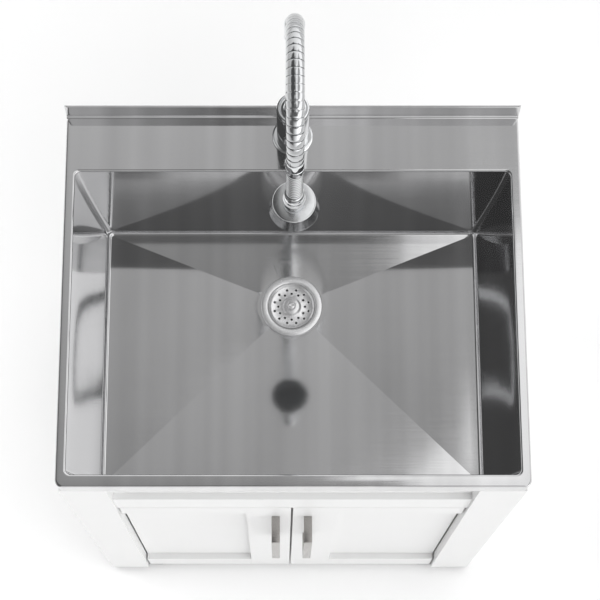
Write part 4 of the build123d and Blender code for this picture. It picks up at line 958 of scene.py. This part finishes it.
class SINK_OT_spout(PieceOperator, bpy.types.Operator):
    """Turn the swivel collar and riser, and spin the jointed arc and the wand's dock"""

    bl_idname = "laundry_sink.spout"
    bl_label = "Spout"

    def make(self, scene):
        size = scene.sink_faucet
        middle = (0.0, FAUCET_Y)
        low = DECK + size.column_top + 0.0003
        top = DECK + 0.1045
        collar = turned([
            (size.tube, low), (size.column, low), (size.column, top - 0.0014),
            (size.column - 0.0004, top - 0.0004), (size.column - 0.0014, top),
            (0.0186, top), (0.0180, top - 0.0014), (0.0172, top - 0.0014), (0.0166, top + 0.0004),
            (0.0152, top + 0.0013), (0.0134, top + 0.0015), (0.0126, top + 0.0004),
            (0.0118, top + 0.0003), (0.0112, top + 0.0012), (size.tube, top + 0.0012),
            (size.tube, low)], middle, 128)
        settle(collar, "swivel_cap", "spout", "polished_chrome", ["swivel_collar"], smooth=38.0)

        ferrule_low = ARC_Z - 0.020
        riser = turned([
            (size.tube, DECK + 0.062), (size.tube, ferrule_low), (size.ferrule - 0.0004, ferrule_low),
            (size.ferrule, ferrule_low + 0.0005), (size.ferrule, ferrule_low + 0.0045),
            (size.ferrule - 0.0005, ferrule_low + 0.005), (size.ferrule - 0.0005, ferrule_low + 0.006),
            (size.ferrule, ferrule_low + 0.0065), (size.ferrule, ARC_Z), (size.tube_bore, ARC_Z),
            (size.tube_bore, DECK + 0.062), (size.tube, DECK + 0.062)], middle, 96)
        ring = spun([(size.ferrule, 180.0), (size.ferrule, 168.5), (size.ferrule - 0.0004, 167.8),
                     (size.tube + 0.0003, 167.0), (size.tube - 0.0002, 167.0), (size.tube - 0.0002, 180.0),
                     (size.ferrule, 180.0)])
        settle(joined([riser, ring]), "riser_tube", "spout", "polished_chrome", ["spout_riser"])

        groove = math.degrees(size.groove / size.arc)
        ease = math.degrees(0.0006 / size.arc)
        pitch = 5.7
        profile = [(size.tube_bore, 15.0), (size.tube - 0.0003, 15.0), (size.tube, 15.0 + ease)]
        angle = 15.0 + pitch
        while angle < 166.0:
            profile += [
                (size.tube + 0.00005, angle - pitch / 2),
                (size.tube, angle - groove / 2 - ease),
                (size.tube - 0.0002, angle - groove / 2),
                (size.tube - size.groove_depth, angle - groove / 3),
                (size.tube - size.groove_depth, angle + groove / 3),
                (size.tube - 0.0002, angle + groove / 2),
                (size.tube, angle + groove / 2 + ease),
            ]
            angle += pitch
        profile += [(size.tube, 180.0), (size.tube_bore, 180.0), (size.tube_bore, 15.0)]
        arc = spun(profile, 80, 1.5)
        settle(arc, "jointed_arc", "spout", "polished_chrome", ["spout_arc"], finish="soft_chrome")

        dock = spun([(size.tube_bore, 0.0), (size.dock - 0.0004, 0.0), (size.dock, 0.3),
                     (size.dock, 6.3), (size.dock - 0.0004, 6.6), (size.dock - 0.0004, 7.1),
                     (size.dock, 7.4), (size.dock, 14.7), (size.dock - 0.0003, 15.0),
                     (size.tube_bore, 15.0), (size.tube_bore, 0.0)], 80, 1.5)
        settle(dock, "wand_dock", "spout", "polished_chrome", ["spray_dock"])


class SINK_OT_wand(PieceOperator, bpy.types.Operator):
    """Turn the spray wand: ribbed grip, ringed collar, bell head, face, nozzles, and its hose"""

    bl_idname = "laundry_sink.wand"
    bl_label = "Spray Wand"

    def make(self, scene):
        size = scene.sink_wand
        middle = (0.0, WAND_Y)
        bore = 0.0066
        low = DECK + 0.274
        top = ARC_Z - 0.0003
        profile = [(bore, low), (size.grip - 0.0003, low)]
        height = low
        while height + size.rib_pitch <= top:
            for part in range(11):
                across = 1.0 - part / 5
                profile.append((size.grip - size.rib_depth * (1.0 - math.sqrt(1.0 - across * across)),
                                height + size.rib_pitch * (part + 0.5) / 11))
            height += size.rib_pitch
        profile += [(size.grip, height + 0.0004), (size.grip, top), (bore, top), (bore, low)]
        grip = turned(profile, middle, 80)
        settle(grip, "ribbed_grip", "spray", "polished_chrome", ["spray_grip"], finish="soft_chrome",
               smooth=45.0)

        head_top = DECK + 0.240
        collar = turned([
            (bore, head_top), (size.neck, head_top), (size.neck, DECK + 0.2480),
            (size.neck + 0.0010, DECK + 0.2486), (0.01385, DECK + 0.2497), (0.0139, DECK + 0.2512),
            (0.0136, DECK + 0.2526), (0.0126, DECK + 0.2534), (0.0121, DECK + 0.2548),
            (0.0120, DECK + 0.2580), (0.0124, DECK + 0.2590), (0.0124, DECK + 0.2602),
            (0.0120, DECK + 0.2612), (0.0114, DECK + 0.2620), (0.0114, DECK + 0.2628),
            (0.0118, DECK + 0.2636), (0.0118, DECK + 0.2722), (0.0114, DECK + 0.2734),
            (size.grip, low), (bore, low), (bore, head_top)], middle, 96)
        settle(collar, "ringed_collar", "spray", "polished_chrome", ["spray_collar"], smooth=40.0)

        low_z = DECK + 0.215
        wall = 0.0022
        head = turned([
            (size.neck - 0.002, head_top), (size.head_top - 0.0016, head_top),
            (size.head_top - 0.0006, head_top - 0.0003), (size.head_top, head_top - 0.0010),
            (size.head_top + 0.0001, head_top - 0.0020), (size.head_bottom - 0.0001, low_z + 0.0022),
            (size.head_bottom, low_z + 0.0010), (size.head_bottom - 0.0005, low_z + 0.0002),
            (size.head_bottom - 0.0014, low_z), (size.head_bottom - wall, low_z),
            (size.head_top - wall, head_top - 0.0034), (size.neck - 0.002, head_top - 0.0034),
            (size.neck - 0.002, head_top)], middle, 128)
        settle(head, "bell_head", "spray", "polished_chrome", ["spray_head"], finish="satin_chrome",
               smooth=40.0)
        self.face(low_z)
        self.hose(size)

    def face(self, low_z):
        """The spray face with its ring grooves, and the rubber nozzles that stand out of it."""
        middle = (0.0, WAND_Y)
        face_low = low_z + 0.0015
        profile = [(0.0022, face_low)]
        for ring in (0.0044, 0.0115, 0.0185, 0.0255):
            profile += [(ring - 0.0006, face_low), (ring - 0.0003, face_low + 0.0005),
                        (ring + 0.0003, face_low + 0.0005), (ring + 0.0006, face_low)]
        profile += [(0.0280, face_low), (0.0277, face_low + 0.003), (0.0022, face_low + 0.003)]
        face = turned(profile, middle, 96)
        settle(face, "nozzle_face", "spray", "grey_plastic", ["spray_face"])
        pattern = turned([(0.0011, face_low + 0.0012), (0.0011, face_low - 0.0002),
                          (0.0008, face_low - 0.0012), (0.0004, face_low - 0.0012),
                          (0.0004, face_low - 0.0004)], (0.0, WAND_Y), 16)
        nozzles = []
        for ring, count in ((0.008, 6), (0.015, 12), (0.022, 18)):
            for index in range(count):
                angle = 2 * math.pi * index / count
                nozzle = pattern.copy()
                nozzle.data = pattern.data.copy()
                nozzle.location = (ring * math.cos(angle), ring * math.sin(angle), 0.0)
                bpy.context.scene.collection.objects.link(nozzle)
                nozzles.append(nozzle)
        bpy.data.objects.remove(pattern)
        for nozzle in nozzles:
            take(nozzle)
            bpy.ops.object.transform_apply(location=True, rotation=True, scale=True)
        settle(joined(nozzles), "rubber_nozzles", "spray", "black_rubber", ["spray_nozzles"])

    def hose(self, size):
        """The stretch of pull-out hose, turned as a plain tube that does not move with the wand."""
        low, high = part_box("pull_out_hose")
        profile = [(0.0035, low.z), (size.hose, low.z)]
        steps = 40
        for step in range(1, steps):
            profile.append((size.hose, low.z + (high.z - low.z) * step / steps))
        profile += [(size.hose, high.z), (0.0035, high.z), (0.0035, low.z)]
        hose = turned(profile, (0.0, WAND_Y), 32)
        take(hose)
        bpy.ops.object.shade_smooth_by_angle(angle=math.radians(35.0))
        hose.name = hose.data.name = "drawn_hose"
        hose.data.materials.append(bpy.data.materials["nylon_hose"])
        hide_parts("pull_out_hose")
        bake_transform(hose)


class SINK_OT_lever(PieceOperator, bpy.types.Operator):
    """Round the lever's hub and arm"""

    bl_idname = "laundry_sink.lever"
    bl_label = "Lever"

    def make(self, scene):
        hub = copied_node("lever_hub")
        round_edges(hub, 0.0003, 2, 40.0)
        settle(hub, "lever_knuckle", "lever_hub", "polished_chrome", ["lever_hub"], smooth=40.0)
        arm = copied_node("lever_arm")
        round_edges(arm, 0.0002, 2, 40.0)
        settle(arm, "pin_lever", "lever", "polished_chrome", ["lever_arm"], smooth=40.0)


class SINK_OT_cabinet(PieceOperator, bpy.types.Operator):
    """Ease the edges of the cabinet's posts, rails, panels and floor"""

    bl_idname = "laundry_sink.cabinet"
    bl_label = "Cabinet"

    def make(self, scene):
        width = scene.sink_cabinet.eased_edge
        for node in ("left_post", "right_post", "cross_rail", "false_panel", "left_side_panel",
                     "right_side_panel", "cabinet_floor", "hanging_rail", "back_panel"):
            piece = copied_node(node)
            round_edges(piece, width if node != "false_panel" else width / 2, 3, 60.0)
            settle(piece, node + "_painted", "cabinet", "white_paint", [node], flat=True)


class SINK_OT_doors(PieceOperator, bpy.types.Operator):
    """Ease the doors' boards and thin panels, and fold their strap pulls"""

    bl_idname = "laundry_sink.doors"
    bl_label = "Doors and Pulls"

    def make(self, scene):
        size = scene.sink_cabinet
        for side in ("left", "right"):
            boards = self.frame_boards(side)
            for piece in boards:
                round_edges(piece, size.eased_edge, 3, 60.0)
            settle(joined(boards), side + "_door_frame_painted", side + "_door", "white_paint",
                   [side + "_door_frame"], flat=True)
            piece = copied_node(side + "_door_panel")
            round_edges(piece, size.eased_edge / 2, 3, 60.0)
            settle(piece, side + "_door_panel_painted", side + "_door", "white_paint",
                   [side + "_door_panel"], flat=True)
            self.pull(side, size)

    def frame_boards(self, side):
        """The stile and the two rails of a door, each a board of its own."""
        low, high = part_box(side + "_door_panel")
        middle_z = (low.z + high.z) / 2

        def in_stile(place):
            return place.x < low.x if side == "right" else place.x > high.x

        return [copied_node(side + "_door_frame", test) for test in (
            in_stile,
            lambda place: not in_stile(place) and place.z > middle_z,
            lambda place: not in_stile(place) and place.z < middle_z,
        )]

    def pull(self, side, size):
        """A strap pull: two legs and a grip folded from one strip, with rounded corners."""
        low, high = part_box(side + "_pull")
        strap = size.pull_strap
        profile = [(high.y, low.z), (low.y, low.z), (low.y, high.z), (high.y, high.z),
                   (high.y, high.z - strap), (low.y + strap, high.z - strap),
                   (low.y + strap, low.z + strap), (high.y, low.z + strap)]
        pull = folded(profile, low.x, high.x)
        bpy.ops.object.mode_set(mode="EDIT")
        pick("EDGE", lambda co, along: abs(along.x) > 0.9 and co.y < low.y + 1e-5)
        bpy.ops.mesh.bevel(offset=0.0022, segments=5, affect="EDGES")
        bpy.ops.object.mode_set(mode="OBJECT")
        round_edges(pull, size.pull_edge, 3, 40.0)
        settle(pull, side + "_strap_pull", side + "_door", "brushed_nickel", [side + "_pull"], smooth=40.0)


class SINK_OT_stage(PieceOperator, bpy.types.Operator):
    """Set up the plain pale floor, the soft studio light and the camera"""

    bl_idname = "laundry_sink.stage"
    bl_label = "Stage"

    def make(self, scene):
        clear_selection()
        bpy.ops.mesh.primitive_plane_add(size=60.0, location=(0.0, 0.0, 0.0))
        floor = bpy.context.object
        floor.name = floor.data.name = "studio_floor"
        floor.data.materials.append(bpy.data.materials["studio_floor"])
        self.world(scene)
        self.lights()
        self.camera(scene)
        scene.view_settings.view_transform = "Standard"
        scene.view_settings.look = "None"

    def world(self, scene):
        """A soft room that is dark on the left and bright on the right."""
        scene.world = bpy.data.worlds.new("soft_room")
        scene.world.use_nodes = True
        tree = scene.world.node_tree
        background = tree.nodes["Background"]
        output = tree.nodes["World Output"]

        def add(kind, **settings):
            node = tree.nodes.new(kind)
            for name, value in settings.items():
                setattr(node, name, value)
            return node

        def joined_to(socket, value):
            if isinstance(value, (int, float)):
                socket.default_value = value
            else:
                tree.links.new(value, socket)

        def worked(operation, first, second=0.0):
            node = add("ShaderNodeMath", operation=operation)
            joined_to(node.inputs[0], first)
            joined_to(node.inputs[1], second)
            return node.outputs["Value"]

        def between(value, low, high):
            """Rises softly from 0 to 1 as a value goes from low to high, or falls if low is higher."""
            node = add("ShaderNodeMapRange", interpolation_type="SMOOTHSTEP")
            falls = low > high
            node.inputs["From Min"].default_value = min(low, high)
            node.inputs["From Max"].default_value = max(low, high)
            node.inputs["To Min"].default_value = 1.0 if falls else 0.0
            node.inputs["To Max"].default_value = 0.0 if falls else 1.0
            joined_to(node.inputs["Value"], value)
            return node.outputs["Result"]

        def lit(level, brightness, where):
            """The level so far, led over to another brightness where a mask says so."""
            node = add("ShaderNodeMix", data_type="FLOAT")
            joined_to(node.inputs[0], where)
            joined_to(node.inputs[2], level)
            joined_to(node.inputs[3], brightness)
            return node.outputs[0]

        place = add("ShaderNodeTexCoord")
        parts = add("ShaderNodeSeparateXYZ")
        tree.links.new(place.outputs["Generated"], parts.inputs["Vector"])
        x, y, z = parts.outputs
        streaks = add("ShaderNodeTexNoise", noise_dimensions="1D")
        streaks.inputs["Scale"].default_value = 55.0
        streaks.inputs["Detail"].default_value = 1.0
        tree.links.new(x, streaks.inputs["W"])
        level = worked("ADD", 0.13, worked("MULTIPLY", streaks.outputs["Fac"], 0.16))
        level = worked("ADD", level, worked("MULTIPLY", y, 1.1))
        level = lit(level, 0.18, between(y, 0.06, -0.03))
        rim_right = worked("MULTIPLY", between(x, 0.0665, 0.0700), between(y, 0.210, 0.200))
        level = lit(level, 1.22, rim_right)
        slanting = worked("SUBTRACT", x, worked("MULTIPLY", y, 0.62))
        near_right = worked("MULTIPLY", between(slanting, -0.0765, -0.0705),
                            worked("MULTIPLY", between(y, 0.198, 0.204), between(y, 0.315, 0.295)))
        level = lit(level, 1.36, near_right)
        steep = worked("SUBTRACT", x, worked("MULTIPLY", y, 0.22))
        corner = worked("MULTIPLY", between(steep, -0.0085, -0.0045),
                        worked("MULTIPLY", between(y, 0.171, 0.175), between(y, 0.228, 0.222)))
        level = lit(level, 1.3, corner)
        middle = worked("MULTIPLY", between(y, -0.22, -0.14), between(y, 0.14, 0.06))
        level = lit(level, 1.4, worked("MULTIPLY", between(x, 0.16, 0.24), worked("SUBTRACT", 1.0, middle)))
        level = lit(level, 0.5, between(x, 0.40, 0.52))
        level = lit(level, 0.10, between(x, -0.13, -0.20))
        inside = worked("MULTIPLY", between(x, 0.20, 0.12), between(x, -0.26, -0.18))
        front = worked("MULTIPLY", between(y, -0.24, -0.30), inside)
        left = worked("ADD", 0.24, worked("MULTIPLY", between(x, -0.01, -0.12), 0.5))
        right = worked("ADD", 1.05, worked("MULTIPLY", between(x, 0.0, 0.12), -0.3))
        level = lit(level, lit(left, right, between(x, -0.006, 0.006)), front)
        upper = lit(worked("ADD", 0.75, worked("MULTIPLY", x, 0.6)), 0.32, between(x, 0.0, 0.07))
        upper = lit(upper, 0.33, between(y, -0.403, -0.442))
        level = lit(level, upper, worked("MULTIPLY", between(y, -0.395, -0.405), inside))
        level = lit(level, 0.15, between(y, -0.42, -0.66))
        ring = worked("SQRT", worked("ADD", worked("MULTIPLY", x, x), worked("MULTIPLY", y, y)))
        side_boxes = worked("ADD", 1.15, worked("MULTIPLY", x, 0.5))
        front_box = worked("MAXIMUM", worked("ADD", 1.0, worked("MULTIPLY", x, 1.8)), 0.15)
        horizon = lit(side_boxes, front_box, between(y, -0.25, -0.55))
        level = lit(level, horizon, between(ring, 0.76, 0.88))
        level = lit(level, 0.9, between(z, 0.0, -0.1))
        tree.links.new(level, background.inputs["Strength"])
        plain = add("ShaderNodeBackground")
        plain.inputs["Color"].default_value = (0.93, 0.93, 0.93, 1.0)
        rays = add("ShaderNodeLightPath")
        seen = add("ShaderNodeMixShader")
        tree.links.new(rays.outputs["Is Camera Ray"], seen.inputs["Fac"])
        tree.links.new(background.outputs["Background"], seen.inputs[1])
        tree.links.new(plain.outputs["Background"], seen.inputs[2])
        tree.links.new(seen.outputs["Shader"], output.inputs["Surface"])
        background.inputs["Color"].default_value = (1.0, 1.0, 1.0, 1.0)

    def lights(self):
        for name, place, aim, size, power in (
            ("key_right", (1.9, -0.9, 2.6), (0.0, 0.0, 0.7), 1.3, 10.0),
            ("top_front", (0.0, -2.2, 3.4), (0.0, -0.3, 0.3), 2.0, 13.0),
            ("front_fill", (0.3, -3.2, 1.4), (0.0, 0.0, 0.5), 2.2, 15.0),
            ("left_fill", (-2.2, 0.3, 2.6), (-0.4, 0.1, 0.0), 2.0, 42.0),
        ):
            lamp = bpy.data.lights.new(name, "AREA")
            lamp.shape = "SQUARE"
            lamp.size = size
            lamp.energy = power
            holder = bpy.data.objects.new(name, lamp)
            holder.visible_glossy = False
            holder.visible_camera = False
            bpy.context.scene.collection.objects.link(holder)
            holder.location = place
            holder.rotation_euler = (Vector(aim) - Vector(place)).to_track_quat("-Z", "Y").to_euler()

    def camera(self, scene):
        lens = bpy.data.cameras.new("view")
        lens.lens = 107.16
        lens.sensor_width = 36.0
        lens.shift_x = 0.0333
        lens.clip_start = 0.05
        lens.clip_end = 60.0
        camera = bpy.data.objects.new("view", lens)
        scene.collection.objects.link(camera)
        camera.location = (-0.017, -0.6251, 3.113)
        camera.rotation_euler = (math.radians(15.593), 0.0, 0.0)
        scene.camera = camera


class SINK_PT_panel(bpy.types.Panel):
    """Lists the sink's operators, sizes and colours"""

    bl_idname = "SINK_PT_panel"
    bl_label = "Laundry Sink"
    bl_space_type = "VIEW_3D"
    bl_region_type = "UI"
    bl_category = "Laundry Sink"

    def draw(self, context):
        for operator in OPERATORS:
            self.layout.operator(operator.bl_idname)
        for name in GROUPS:
            group = getattr(context.scene, name)
            box = self.layout.box()
            for key in group.__annotations__:
                box.prop(group, key)


OPERATORS = (SINK_OT_finishes, SINK_OT_sink_top, SINK_OT_bowl, SINK_OT_strainer,
             SINK_OT_faucet_column, SINK_OT_spout, SINK_OT_wand, SINK_OT_lever, SINK_OT_cabinet,
             SINK_OT_doors, SINK_OT_stage)
GROUPS = {
    "sink_top": SinkTopSizes, "sink_strainer": StrainerSizes, "sink_faucet": FaucetSizes,
    "sink_wand": WandSizes, "sink_cabinet": CabinetSizes, "sink_colours": FinishColours,
}


def register():
    for group in (*GROUPS.values(), *OPERATORS, SINK_PT_panel):
        bpy.utils.register_class(group)
    for name, group in GROUPS.items():
        setattr(bpy.types.Scene, name, bpy.props.PointerProperty(type=group))


def unregister():
    for name in GROUPS:
        delattr(bpy.types.Scene, name)
    for group in reversed((*GROUPS.values(), *OPERATORS, SINK_PT_panel)):
        bpy.utils.unregister_class(group)


def main():
    register()
    for operator in OPERATORS:
        group, name = operator.bl_idname.split(".")
        getattr(getattr(bpy.ops, group), name)()


if __name__ == "__main__":
    main()
